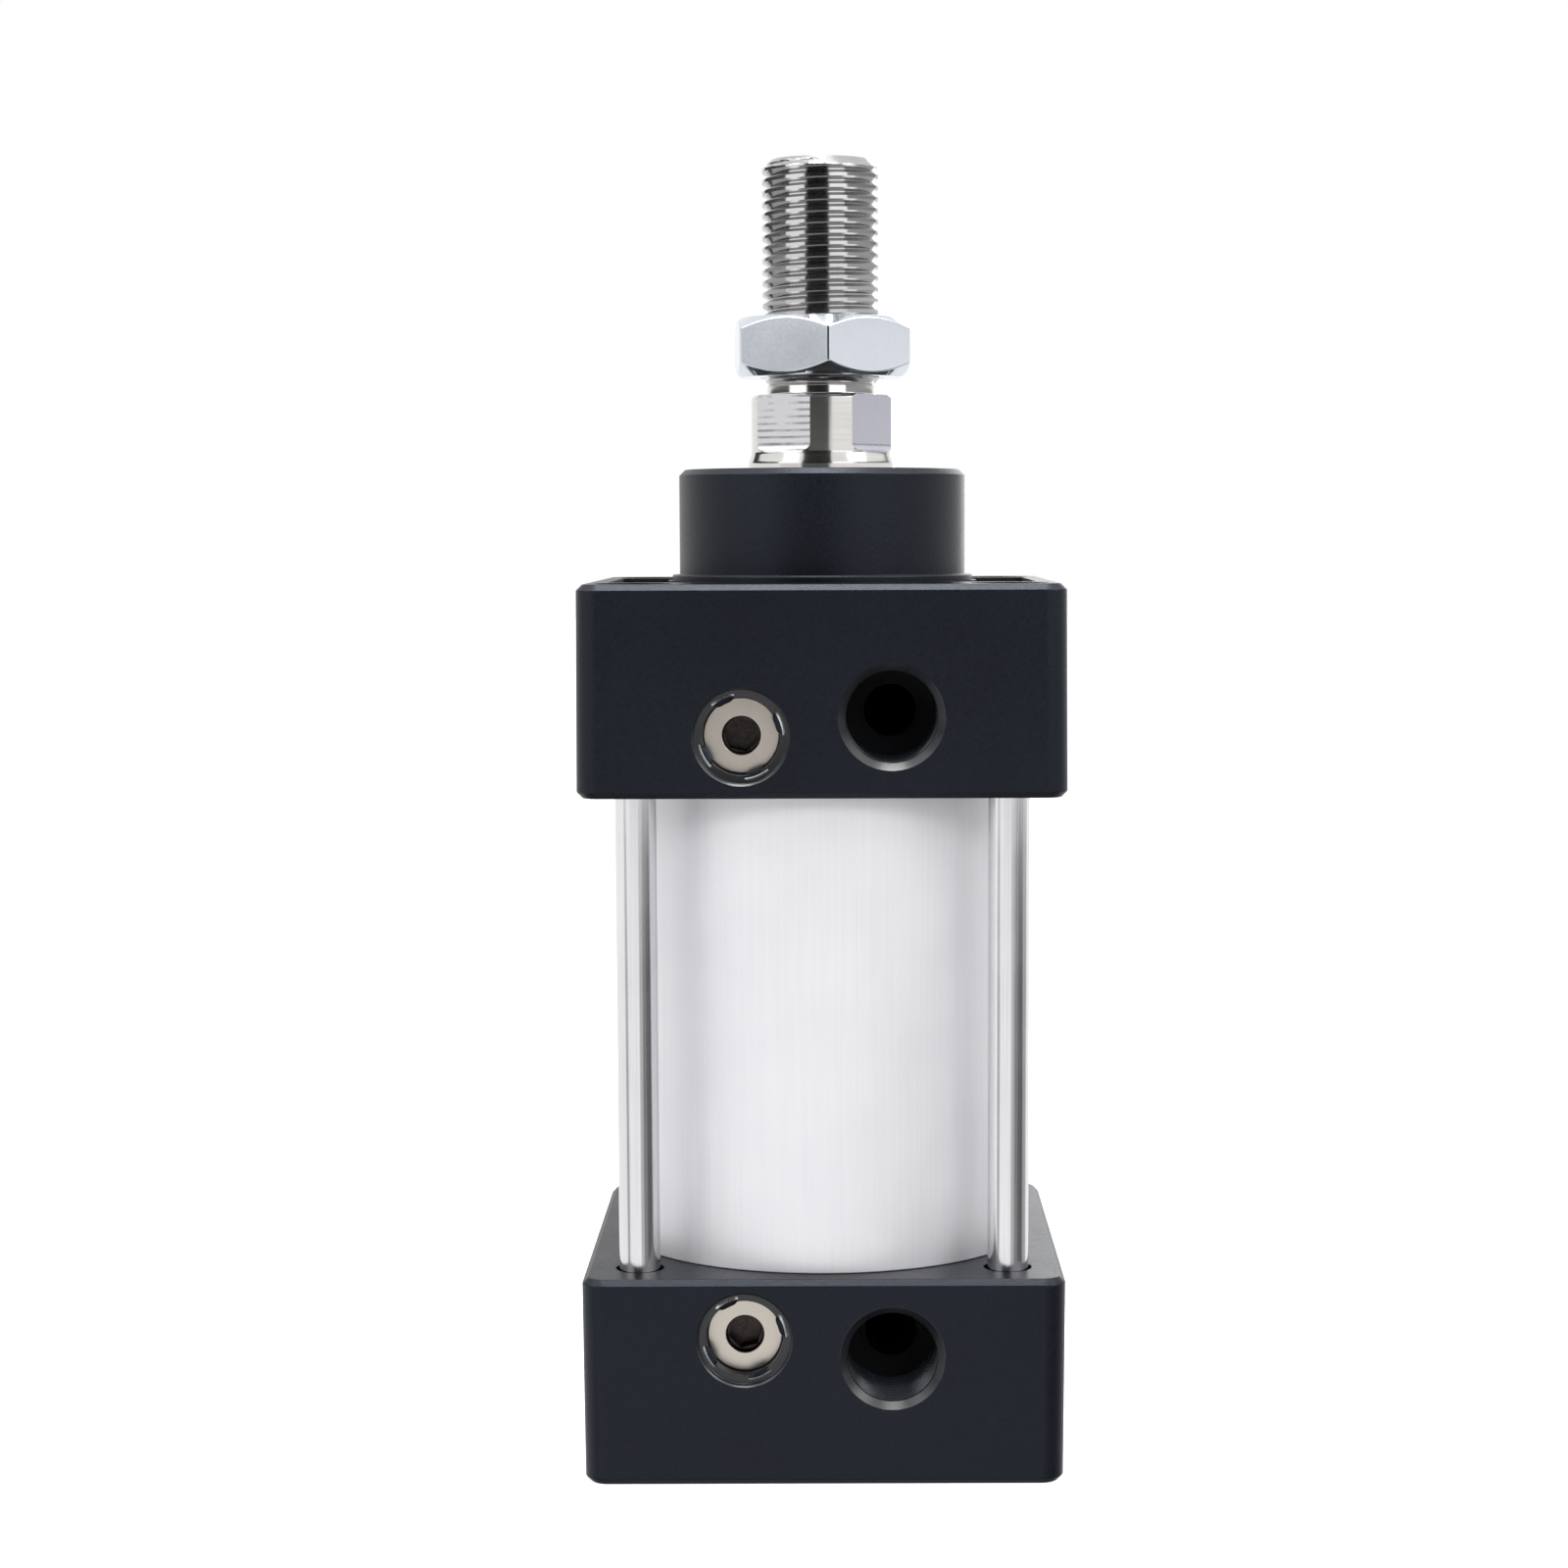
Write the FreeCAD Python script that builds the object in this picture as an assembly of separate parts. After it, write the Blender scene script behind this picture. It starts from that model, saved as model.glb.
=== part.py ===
import FreeCAD
import Part
import math
import os

# Tie-rod pneumatic cylinder with its rod drawn in, standing on its rear cover.
# The origin is the middle of the rear cover's outer face. +Z runs along the rod,
# and the air ports and cushion screws look along -Y. All sizes are in millimetres.

# Working sizes
bore = 50.0
stroke = 25.0
rod_diameter = 20.0

# Square end covers, die cast with a slight draft
cover_margin = 3.75          # from the barrel's outside to a cover's side
cover_lean = 0.2             # draft of each side over the cover's length
cover_length = 27.5
cover_corner = 3.0
cover_bevel = 0.8
spigot_length = 6.0          # register that reaches into the barrel
spigot_play = 0.05
boss_diameter = 39.0
boss_height = 15.0
boss_bevel = 0.8
step_width = 1.0             # low step round the foot of the boss
step_height = 0.8

# Lightening pockets in the covers' outer ends, one along each side
pocket_depth = 7.0
pocket_rim = 3.2             # wall between a pocket and the cover's side
pocket_end_wall = 2.25       # from a pocket's end to a tie rod nut's bore
pocket_rib = 1.8             # half the thickness of the rib between two pockets
pocket_step_gap = 0.6        # from the step's edge to the pocket's inner wall
pocket_corner = 1.2

# Barrel
barrel_wall = 3.0
barrel_lead = 0.6            # chamfer at each mouth of the bore

# Tie rods and their nuts
tie_inset = 7.35             # from a cover's side to a tie rod's axis
tie_diameter = 5.4           # blank of a rolled M6 thread
tie_hole_gap = 0.5
tie_nut_diameter = 10.0
tie_nut_recess = 0.3         # how far a nut's end lies under the cover's face
tie_nut_gap = 0.15
tie_nut_bevel = 0.4
tie_engagement = 6.0         # tie rod thread inside its nut
tie_end_gap = 0.2            # from the rod's end to the nut's smaller bore
mount_thread_bore = 5.0      # minor diameter of the M6 mounting thread
mount_thread_depth = 9.5
tie_socket_flats = 7.0
tie_socket_depth = 2.0
thread_gap = 0.05            # between the drawn cylinders of two mating threads

# Air ports, G1/4
port_offset = 9.0            # from the cylinder's axis
port_from_inner = 10.5       # from the cover's inner face
port_bore = 11.8             # the tapping drill
port_mouth = 13.8
port_depth = 14.0
drill_angle = 118.0
port_passage = 7.0

# Cushion screws and their bores
screw_offset = -10.4
screw_from_inner = 8.0
screw_diameter = 9.9
screw_play = 0.05
screw_rim_diameter = 12.2
screw_rim_depth = 1.2
screw_recess = 3.6           # from the cover's side to the screw's end
screw_length = 8.0
screw_edge = 0.2
screw_neck_diameter = 4.4
screw_tip_diameter = 1.6
screw_tip_length = 1.6
screw_bore_depth = 15.0
screw_seat_diameter = 2.5
stake_angles = (19, 116, 208, 292)    # counter-clockwise from +X, looking at the cover's side
stake_reach = 0.35           # how far a stake stands over the screw's edge
stake_height = 0.5
screw_socket_mouth = 5.0
screw_socket_mouth_depth = 0.8
screw_socket_flats = 4.0
screw_socket_depth = 3.6
bleed_diameter = 2.5
bleed_from_floor = 1.5       # from the screw bore's floor to the middle of the bleed hole

# O-rings and their grooves
o_ring_section = 1.7
o_ring_groove = 1.8          # depth of a groove
o_ring_groove_width = 2.4
o_ring_end_land = 1.2        # from a piece's end to its O-ring groove
o_ring_sides = 8             # flats that stand for the round section

# Cushion plungers, their chambers and seals
front_plunger_wall = 3.0     # of the sleeve round the rod
front_plunger_length = 15.0
rear_plunger_diameter = 20.0
rear_plunger_length = 17.0
plunger_taper = 2.0          # length of the tapered nose
plunger_taper_depth = 0.6
plunger_end_gap = 4.5        # from a plunger's end to the chamber's floor
chamber_gap = 2.0            # from a plunger's side to the chamber's wall
cushion_seal_height = 4.5
cushion_seal_groove = 1.6    # how far the groove reaches beyond the chamber's wall
cushion_seal_lip = 1.0       # cover metal in front of the seal
seal_play = 0.05

# Rod guide and rod seal in the front cover
bushing_wall = 1.5
bushing_play = 0.04
bushing_shoulder = 2.0       # metal between the cushion chamber and the bushing
rod_hole_gap = 0.4
rod_seal_depth = 7.0
rod_seal_width = 4.5
rod_seal_notch = 2.6         # depth of the groove between the seal's lips
rod_seal_lip = 1.0

# Piston: two halves clamped on the rod's stud
piston_gap = 0.3
end_land = 1.75
inner_land = 1.0
piston_seal_width = 5.0
piston_seal_thickness = 5.0
piston_seal_lip = 1.2
wear_ring_width = 5.0
wear_ring_thickness = 1.6
wear_ring_slot = 1.2
magnet_width = 4.5
magnet_thickness = 4.5
magnet_cover = 0.5           # piston metal's outside to the magnet's outside
stud_diameter = 12.0
stud_engagement = 10.0       # stud thread inside the rear plunger
stud_bevel = 1.0
plunger_socket_flats = 10.0
plunger_socket_depth = 5.0

# Rod end
rod_out = 10.0               # from the boss to the rod's shoulder, drawn in
rod_neck_diameter = 19.2
rod_flare = 1.3
flats_across = 17.0
flats_length = 6.6
flats_runout = 1.2           # radius that the cutter leaves under each flat
flats_turn = -37.0           # first flat, in degrees from -Y towards +X
shoulder_bevel = 0.4
thread_diameter = 16.0       # M16 x 1.5
thread_pitch_diameter = 15.03
thread_length = 31.5         # shoulder to rod end
relief_diameter = 14.8
relief_length = 1.5
thread_end_bevel = 1.2

# Rod nut
nut_flats = 23.0
nut_height = 8.0
nut_from_relief = 0.9
nut_turn = 4.5               # a corner, in degrees from -Y towards +X
nut_bevel = 0.5              # from the middle of a flat to the bevel's circle
nut_bevel_angle = 38.0

# Levels along the axis
piston_length = (2 * end_land + 3 * inner_land + 2 * piston_seal_width
                 + wear_ring_width + magnet_width)
barrel_length = stroke + piston_length + 2 * spigot_length
rear_inner = cover_length
front_inner = rear_inner + barrel_length
front_face = front_inner + cover_length
boss_top = front_face + boss_height
rod_shoulder = boss_top + rod_out
thread_start = rod_shoulder + relief_length
nut_bottom = thread_start + nut_from_relief
nut_top = nut_bottom + nut_height
rod_end = rod_shoulder + thread_length
piston_rear = rear_inner + spigot_length
piston_front = piston_rear + piston_length
tie_nut_length = tie_socket_depth + mount_thread_depth + tie_engagement

# Widths across the covers
cover_side = bore + 2 * barrel_wall + 2 * cover_margin    # at the inner end, the widest
tie_spacing = cover_side - 2 * tie_inset
pocket_reach = (tie_spacing - tie_nut_diameter) / 2 - tie_nut_gap - pocket_end_wall
step_diameter = boss_diameter + 2 * step_width

# Radii that several pieces share
bore_radius = bore / 2
rod_radius = rod_diameter / 2
tie_radius = tie_diameter / 2
stud_radius = stud_diameter / 2
screw_radius = screw_diameter / 2
piston_radius = bore_radius - piston_gap
front_plunger_radius = rod_radius + front_plunger_wall
rear_plunger_radius = rear_plunger_diameter / 2
bushing_radius = rod_radius + bushing_play + bushing_wall
rod_seal_radius = rod_radius + rod_seal_width

# Depths in a cover, measured outwards from its inner face
chamber_front = front_plunger_length - spigot_length + plunger_end_gap
chamber_rear = rear_plunger_length - spigot_length + plunger_end_gap
bushing_low = chamber_front + bushing_shoulder
bushing_high = cover_length + boss_height - rod_seal_depth

origin = FreeCAD.Vector(0, 0, 0)
along_z = FreeCAD.Vector(0, 0, 1)
along_y = FreeCAD.Vector(0, 1, 0)
tie_places = [(x * tie_spacing / 2, y * tie_spacing / 2) for y in (-1, 1) for x in (-1, 1)]


def turned(start, steps, hole=0.0, direction=along_z):
    """A lathe piece about the axis: each step is its length and its two end radii."""
    outline = [(hole, start)]
    level = start
    for length, low_radius, high_radius in steps:
        for point in ((low_radius, level), (high_radius, level + length)):
            if point != outline[-1]:
                outline.append(point)
        level += length
    outline.append((hole, level))
    return revolved(outline, direction)


def revolved(outline, direction=along_z):
    """A solid from a closed outline of (radius, level) points."""
    points = [FreeCAD.Vector(radius, 0, level) for radius, level in outline]
    if points[-1].distanceToPoint(points[0]) < 1e-7:
        points.pop()
    solid = Part.Face(Part.makePolygon(points + points[:1])).revolve(origin, along_z, 360)
    if direction != along_z:
        solid.Placement = FreeCAD.Placement(origin, FreeCAD.Rotation(along_z, direction))
    return solid


def bar(radius, low, high, x=0.0, y=0.0):
    """A cylinder along Z."""
    return Part.makeCylinder(radius, high - low, FreeCAD.Vector(x, y, low))


def bar_inwards(radius, x, z, outside, inside):
    """A cylinder along +Y, which is how the side holes are drilled."""
    return Part.makeCylinder(radius, inside - outside, FreeCAD.Vector(x, outside, z), along_y)


def hexagon(across_flats, low, height, turn=0.0):
    """A hexagonal prism about the axis, with one corner at the angle turn."""
    radius = across_flats / math.sqrt(3)
    angles = [math.radians(turn + 60 * i) for i in range(7)]
    points = [FreeCAD.Vector(radius * math.cos(a), radius * math.sin(a), low) for a in angles]
    return Part.Face(Part.makePolygon(points)).extrude(FreeCAD.Vector(0, 0, height))


def rounded_square(side, corner, level):
    """A square outline with round corners, at one level."""
    edges = []
    half = side / 2
    flat = half - corner
    middle = flat + corner * math.sqrt(0.5)
    for quarter in range(4):
        line = Part.makeLine(FreeCAD.Vector(half, -flat, level), FreeCAD.Vector(half, flat, level))
        arc = Part.Arc(FreeCAD.Vector(half, flat, level), FreeCAD.Vector(middle, middle, level),
                       FreeCAD.Vector(flat, half, level)).toShape()
        for edge in (line, arc):
            edge.rotate(origin, along_z, 90 * quarter)
            edges.append(edge)
    return Part.Wire(edges)


def o_ring(centre_radius, level):
    """A ring about the axis, its round section drawn with a few flats."""
    angles = [2 * math.pi * i / o_ring_sides for i in range(o_ring_sides)]
    half = o_ring_section / 2
    return revolved([(centre_radius + half * math.cos(a), level + half * math.sin(a))
                     for a in angles])


def side_at(depth):
    """Distance from the axis to a cover's side, at a depth from its inner face."""
    return cover_side / 2 - cover_lean * depth / cover_length


def pocket_tool():
    """The cutter for the pocket along the -Y side of a cover's outer end."""
    wall = side_at(cover_length) - pocket_rim
    rib = pocket_rib * math.sqrt(2)
    floor = cover_length - pocket_depth
    points = [(-pocket_reach, -wall), (pocket_reach, -wall),
              (pocket_reach, -pocket_reach - rib), (0, -rib),
              (-pocket_reach, -pocket_reach - rib)]
    corners = [FreeCAD.Vector(x, y, floor) for x, y in points]
    inner_wall = step_diameter / 2 + pocket_step_gap
    outline = Part.Face(Part.makePolygon(corners + corners[:1])).cut(
        bar(inner_wall, floor - 1, floor + 1))
    rounded = outline.Faces[0].makeOffset2D(-pocket_corner).makeOffset2D(pocket_corner)
    return rounded.extrude(FreeCAD.Vector(0, 0, pocket_depth + cover_bevel))


def port_tool():
    """Port bore with its thread chamfer, drill point and the passage to the chamber."""
    depth = port_from_inner
    face = -side_at(depth)
    chamfer = (port_mouth - port_bore) / 2
    point = port_bore / 2 / math.tan(math.radians(drill_angle / 2))
    profile = turned(-cover_lean, [(cover_lean, port_mouth / 2, port_mouth / 2),
                                   (chamfer, port_mouth / 2, port_bore / 2),
                                   (port_depth - chamfer, port_bore / 2, port_bore / 2),
                                   (point, port_bore / 2, 0)], direction=along_y)
    profile.translate(FreeCAD.Vector(port_offset, face, depth))
    passage = bar_inwards(port_passage / 2, port_offset, depth,
                          face + port_depth, -rear_plunger_radius / 2)
    return profile.fuse(passage)


def screw_tool(stakes_at):
    """Cushion screw bore, its sunk rim, the valve seat and the bleed hole to the barrel.

    The bore leaves the stakes standing: metal punched over the screw's edge to keep it in."""
    depth = screw_from_inner
    face = -side_at(depth)
    inside = face + screw_bore_depth
    rim = face + screw_rim_depth
    screw_bore = bar_inwards(screw_radius + screw_play, screw_offset, depth, face, inside)
    for angle in stakes_at:
        stake = Part.makeBox(screw_radius, stake_height, screw_diameter, FreeCAD.Vector(
            screw_offset + screw_radius - stake_reach, rim, depth - screw_radius))
        stake.rotate(FreeCAD.Vector(screw_offset, rim, depth), along_y, -angle)
        screw_bore = screw_bore.cut(stake)
    tool = bar_inwards(screw_rim_diameter / 2, screw_offset, depth, face - cover_lean, rim)
    tool = tool.fuse(screw_bore)
    tool = tool.fuse(bar_inwards(screw_seat_diameter / 2, screw_offset, depth,
                                 inside, -rear_plunger_radius / 2))
    bleed_y = inside - bleed_from_floor
    return tool.fuse(bar(bleed_diameter / 2, -spigot_length - 1, depth, screw_offset, bleed_y))


def cover(chamber_depth, plunger_radius, stakes_at):
    """What both covers share, with the inner face at level 0 and the outer end above it."""
    levels = [(0, cover_bevel), (cover_bevel, 0),
              (cover_length - cover_bevel, 0), (cover_length, cover_bevel)]
    wires = [rounded_square(2 * (side_at(level) - inset), cover_corner - inset, level)
             for level, inset in levels]
    body = Part.makeLoft(wires, True, True)

    spigot_radius = bore_radius - spigot_play
    groove_radius = spigot_radius - o_ring_groove
    inner_part = spigot_length - o_ring_end_land - o_ring_groove_width
    spigot = turned(-spigot_length, [
        (o_ring_end_land, spigot_radius, spigot_radius),
        (o_ring_groove_width, groove_radius, groove_radius),
        (inner_part + cover_bevel, spigot_radius, spigot_radius)])
    body = body.fuse(spigot)

    chamber_radius = plunger_radius + chamber_gap
    seal_low = -spigot_length + cushion_seal_lip
    cuts = [bar(chamber_radius, -spigot_length - 1, chamber_depth),
            bar(chamber_radius + cushion_seal_groove, seal_low,
                seal_low + cushion_seal_height + 2 * seal_play),
            port_tool(), screw_tool(stakes_at)]
    nut_seat = cover_length - tie_nut_recess - tie_nut_length
    for x, y in tie_places:
        cuts.append(bar(tie_radius + tie_hole_gap, -1, cover_length, x, y))
        cuts.append(bar(tie_nut_diameter / 2 + tie_nut_gap, nut_seat, cover_length + 1, x, y))
    pocket = pocket_tool()
    for quarter in range(4):
        cuts.append(pocket.copy().rotate(origin, along_z, 90 * quarter))
    return body.cut(cuts)


def at_front(shape):
    """Move a shape from a cover's own levels to the front cover's place."""
    moved = shape.copy()
    moved.translate(FreeCAD.Vector(0, 0, front_inner))
    return moved


def at_rear(shape):
    """Mirror a shape from a cover's own levels to the rear cover's place."""
    moved = shape.mirror(origin, along_z)
    moved.translate(FreeCAD.Vector(0, 0, rear_inner))
    return moved


def front_cover():
    boss_radius = boss_diameter / 2
    step = bar(step_diameter / 2, cover_length - pocket_depth, cover_length + step_height)
    boss = turned(cover_length, [(boss_height - boss_bevel, boss_radius, boss_radius),
                                 (boss_bevel, boss_radius, boss_radius - boss_bevel)])
    body = cover(chamber_front, front_plunger_radius, stake_angles)
    top = cover_length + boss_height
    added = step.fuse(boss).cut([
        bar(front_plunger_radius + chamber_gap, 0, chamber_front)])
    body = body.fuse(added).removeSplitter()
    return body.cut([bar(rod_radius + rod_hole_gap, chamber_front - 1, top),
                     bar(bushing_radius, bushing_low, bushing_high),
                     bar(rod_seal_radius, bushing_high, top + 1)])


def rear_cover():
    mirrored_stakes = [-angle for angle in stake_angles]
    return cover(chamber_rear, rear_plunger_radius, mirrored_stakes)


def cushion_seal(plunger_radius):
    """Ring that grips a plunger's side, with a lip turned towards the barrel."""
    inner = plunger_radius + seal_play
    outer = plunger_radius + chamber_gap + cushion_seal_groove - seal_play
    low = -spigot_length + cushion_seal_lip + seal_play
    high = low + cushion_seal_height
    return revolved([(inner, low), (inner + chamber_gap / 2, low),
                     (inner + chamber_gap / 2, low + cushion_seal_lip),
                     (outer, low + cushion_seal_lip), (outer, high), (inner, high)])


def lip_seal(inner, outer, low, high, lip):
    """Cup seal whose two lips point up, with a notch between them."""
    middle = (inner + outer) / 2
    notch = (high - low) / 2
    return revolved([(inner, low), (outer, low), (outer, high), (outer - lip, high),
                     (middle, high - notch), (inner + lip, high), (inner, high)])


def rod_seal():
    """Rod seal and wiper in one: a notch below faces the pressure, a lip above wipes."""
    inner = rod_radius + seal_play
    outer = rod_seal_radius - seal_play
    low = boss_top - rod_seal_depth
    middle = (inner + outer) / 2
    relief = inner + rod_seal_lip
    return revolved([(inner, low), (inner + rod_seal_lip, low), (middle, low + rod_seal_notch),
                     (outer - rod_seal_lip, low), (outer, low), (outer, boss_top),
                     (relief, boss_top), (relief - rod_seal_lip / 2, boss_top - rod_seal_lip),
                     (inner, boss_top - rod_seal_lip), (inner, boss_top - 2 * rod_seal_lip),
                     (relief, boss_top - 3 * rod_seal_lip), (inner, low + rod_seal_notch)])


def cushion_screw():
    """Needle valve screw, drawn about Z with its socket end at level 0 and its tip above."""
    to_floor = screw_bore_depth - screw_recess
    neck_radius = screw_neck_diameter / 2
    groove_radius = screw_radius - o_ring_groove
    head = screw_length - o_ring_end_land - o_ring_groove_width - screw_edge
    neck = to_floor - screw_length - screw_tip_length
    body = turned(0, [(screw_edge, screw_radius - screw_edge, screw_radius),
                      (head, screw_radius, screw_radius),
                      (o_ring_groove_width, groove_radius, groove_radius),
                      (o_ring_end_land, screw_radius, screw_radius),
                      (neck, neck_radius, neck_radius),
                      (screw_tip_length, neck_radius, screw_tip_diameter / 2)])
    mouth_radius = screw_socket_mouth / 2
    mouth = turned(-1, [(1 + screw_socket_mouth_depth, mouth_radius, mouth_radius)])
    return body.cut([mouth, hexagon(screw_socket_flats, 0, screw_socket_depth)])


def into_side(shape):
    """Turn a piece drawn about Z to lie in a cushion screw bore."""
    moved = shape.copy()
    moved.Placement = FreeCAD.Placement(origin, FreeCAD.Rotation(along_z, along_y))
    moved.translate(FreeCAD.Vector(screw_offset, screw_recess - side_at(screw_from_inner),
                                   screw_from_inner))
    return moved


def tie_nut():
    """Round tie rod nut on a cover's own levels: hexagon socket and mounting thread outside."""
    top = cover_length - tie_nut_recess
    radius = tie_nut_diameter / 2
    length = tie_nut_length - tie_nut_bevel
    body = turned(top - tie_nut_length, [(length, radius, radius),
                                         (tie_nut_bevel, radius, radius - tie_nut_bevel)])
    thread_floor = top - tie_socket_depth - mount_thread_depth
    return body.cut([bar(tie_radius + thread_gap, top - tie_nut_length - 1, thread_floor),
                     bar(mount_thread_bore / 2, thread_floor - 1, top),
                     hexagon(tie_socket_flats, top - tie_socket_depth, tie_socket_depth + 1)])


def tie_rod(x, y):
    inside_cover = cover_length - tie_nut_recess - tie_socket_depth - mount_thread_depth
    reach = inside_cover - tie_end_gap
    return bar(tie_radius, rear_inner - reach, front_inner + reach, x, y)


def barrel():
    outer = bore_radius + barrel_wall
    tube = bar(outer, rear_inner, front_inner)
    lead = [(barrel_lead, bore_radius + barrel_lead, bore_radius),
            (barrel_length - 2 * barrel_lead, bore_radius, bore_radius),
            (barrel_lead, bore_radius, bore_radius + barrel_lead)]
    return tube.cut(turned(rear_inner, lead))


def piston_rod():
    """Stud, ground rod, flared neck with wrench flats, thread relief and thread."""
    stud_low = piston_rear - stud_engagement
    thread_radius = thread_diameter / 2
    neck_radius = rod_neck_diameter / 2
    relief_radius = relief_diameter / 2
    engaged_radius = thread_pitch_diameter / 2
    flats_low = rod_shoulder - flats_length
    flare_low = flats_low - flats_runout - rod_flare
    body = turned(stud_low, [
        (stud_bevel, stud_radius - stud_bevel, stud_radius),
        (piston_front - stud_low - stud_bevel, stud_radius, stud_radius),
        (flare_low - piston_front, rod_radius, rod_radius),
        (rod_flare, rod_radius, neck_radius),
        (rod_shoulder - shoulder_bevel - flare_low - rod_flare, neck_radius, neck_radius),
        (shoulder_bevel, neck_radius, neck_radius - shoulder_bevel),
        (relief_length, relief_radius, relief_radius),
        (nut_top - thread_start, engaged_radius, engaged_radius),
        (rod_end - thread_end_bevel - nut_top, thread_radius, thread_radius),
        (thread_end_bevel, thread_radius, thread_radius - thread_end_bevel)])
    cutter = Part.makeBox(2 * rod_radius, rod_radius, 2 * rod_radius,
                          FreeCAD.Vector(-rod_radius, -flats_across / 2 - rod_radius,
                                         flats_low - flats_runout))
    inner_edge = [edge for edge in cutter.Edges
                  if all(abs(v.Z - flats_low + flats_runout) < 1e-6
                         and abs(v.Y + flats_across / 2) < 1e-6 for v in edge.Vertexes)]
    cutter = cutter.makeFillet(flats_runout, inner_edge)
    below_shoulder = bar(2 * rod_radius, flats_low - 2 * flats_runout, rod_shoulder)
    cutter = cutter.common(below_shoulder)
    flats = []
    for quarter in range(4):
        flats.append(cutter.copy().rotate(origin, along_z, flats_turn + 90 * quarter))
    return body.cut(flats)


def rod_nut():
    """Thin hexagon nut, bevelled on both sides."""
    corner_radius = nut_flats / math.sqrt(3)
    flat_radius = nut_flats / 2
    bevel_radius = flat_radius - nut_bevel
    bevel = (corner_radius - bevel_radius) * math.tan(math.radians(nut_bevel_angle))
    blank = turned(nut_bottom, [(bevel, bevel_radius, corner_radius),
                                (nut_height - 2 * bevel, corner_radius, corner_radius),
                                (bevel, corner_radius, bevel_radius)])
    prism = hexagon(nut_flats, nut_bottom, nut_height, nut_turn - 90)
    hole_radius = thread_pitch_diameter / 2 + thread_gap
    return prism.common(blank).cut(bar(hole_radius, nut_bottom - 1, nut_top + 1))


def front_plunger():
    """Cushion sleeve on the rod, ahead of the piston."""
    radius = front_plunger_radius
    nose = radius - plunger_taper_depth
    return turned(piston_front, [(front_plunger_length - plunger_taper, radius, radius),
                                 (plunger_taper, radius, nose)], rod_radius + bushing_play)


def rear_plunger():
    """Cushion plunger that is also the nut on the rod's stud."""
    radius = rear_plunger_radius
    nose = radius - plunger_taper_depth
    low = piston_rear - rear_plunger_length
    body = turned(low, [(plunger_taper, nose, radius),
                        (rear_plunger_length - plunger_taper, radius, radius)])
    stud_hole = bar(stud_radius + thread_gap, piston_rear - stud_engagement - tie_end_gap,
                    piston_rear + 1)
    return body.cut([stud_hole, hexagon(plunger_socket_flats, low - 1, plunger_socket_depth + 1)])


def piston_levels():
    """Where each land and groove of the piston begins, from its rear face."""
    widths = [end_land, piston_seal_width, inner_land, wear_ring_width, inner_land,
              magnet_width, inner_land, piston_seal_width, end_land]
    levels = [piston_rear]
    for width in widths:
        levels.append(levels[-1] + width)
    return levels


def piston_half(levels, radii, hole):
    steps = [(high - low, radius, radius) for low, high, radius in zip(levels, levels[1:], radii)]
    return turned(levels[0], steps, hole)


def write(name, shape):
    shape.exportStep(f"parts/{name}.step")


def write_housing():
    write("front_cover", at_front(front_cover()))
    write("rear_cover", at_rear(rear_cover()))
    write("barrel", barrel())
    for number, (x, y) in enumerate(tie_places, 1):
        write(f"tie_rod_{number}", tie_rod(x, y))
        nut = tie_nut()
        nut.translate(FreeCAD.Vector(x, y, 0))
        write(f"front_tie_nut_{number}", at_front(nut))
        write(f"rear_tie_nut_{number}", at_rear(nut))

    groove_level = -spigot_length + o_ring_end_land + o_ring_groove_width / 2
    barrel_ring = o_ring(bore_radius - spigot_play - o_ring_section / 2, groove_level)
    write("front_barrel_o_ring", at_front(barrel_ring))
    write("rear_barrel_o_ring", at_rear(barrel_ring))
    write("front_cushion_seal", at_front(cushion_seal(front_plunger_radius)))
    write("rear_cushion_seal", at_rear(cushion_seal(rear_plunger_radius)))
    bushing_length = bushing_high - bushing_low
    write("rod_bushing", at_front(turned(bushing_low, [
        (bushing_length, bushing_radius, bushing_radius)], rod_radius + bushing_play)))
    write("rod_seal", rod_seal())


def write_cushion_screws():
    screw = into_side(cushion_screw())
    groove_level = screw_length - o_ring_end_land - o_ring_groove_width / 2
    ring = into_side(o_ring(screw_radius - o_ring_section / 2, groove_level))
    write("front_cushion_screw", at_front(screw))
    write("rear_cushion_screw", at_rear(screw))
    write("front_screw_o_ring", at_front(ring))
    write("rear_screw_o_ring", at_rear(ring))


def write_piston():
    levels = piston_levels()
    hole = stud_radius + thread_gap
    seal_floor = bore_radius - piston_seal_thickness
    wear_floor = bore_radius - wear_ring_thickness
    magnet_outer = piston_radius - magnet_cover
    magnet_floor = magnet_outer - magnet_thickness
    full = piston_radius
    write("piston_rear_half", piston_half(
        levels[:7], [full, seal_floor, full, wear_floor, full, magnet_floor], hole))
    write("piston_front_half", piston_half(levels[6:], [full, seal_floor, full], hole))

    seal_inner = seal_floor + seal_play
    seal_outer = bore_radius - seal_play
    seals = []
    for low, high in ((levels[1], levels[2]), (levels[7], levels[8])):
        seals.append(lip_seal(seal_inner, seal_outer, low + seal_play, high - seal_play,
                              piston_seal_lip))
    middle = (levels[1] + levels[2]) / 2
    seals[0] = seals[0].mirror(FreeCAD.Vector(0, 0, middle), along_z)
    write("rear_piston_seal", seals[0])
    write("front_piston_seal", seals[1])

    wear = [(wear_ring_width - 2 * seal_play, bore_radius - seal_play, bore_radius - seal_play)]
    wear_ring = turned(levels[3] + seal_play, wear, wear_floor + seal_play)
    slot = Part.makeBox(bore, wear_ring_slot, bore,
                        FreeCAD.Vector(0, -wear_ring_slot / 2, levels[3] - bore / 2))
    write("wear_ring", wear_ring.cut(slot))
    magnet = [(magnet_width, magnet_outer, magnet_outer)]
    write("magnet_ring", turned(levels[5], magnet, magnet_floor + seal_play))


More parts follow.
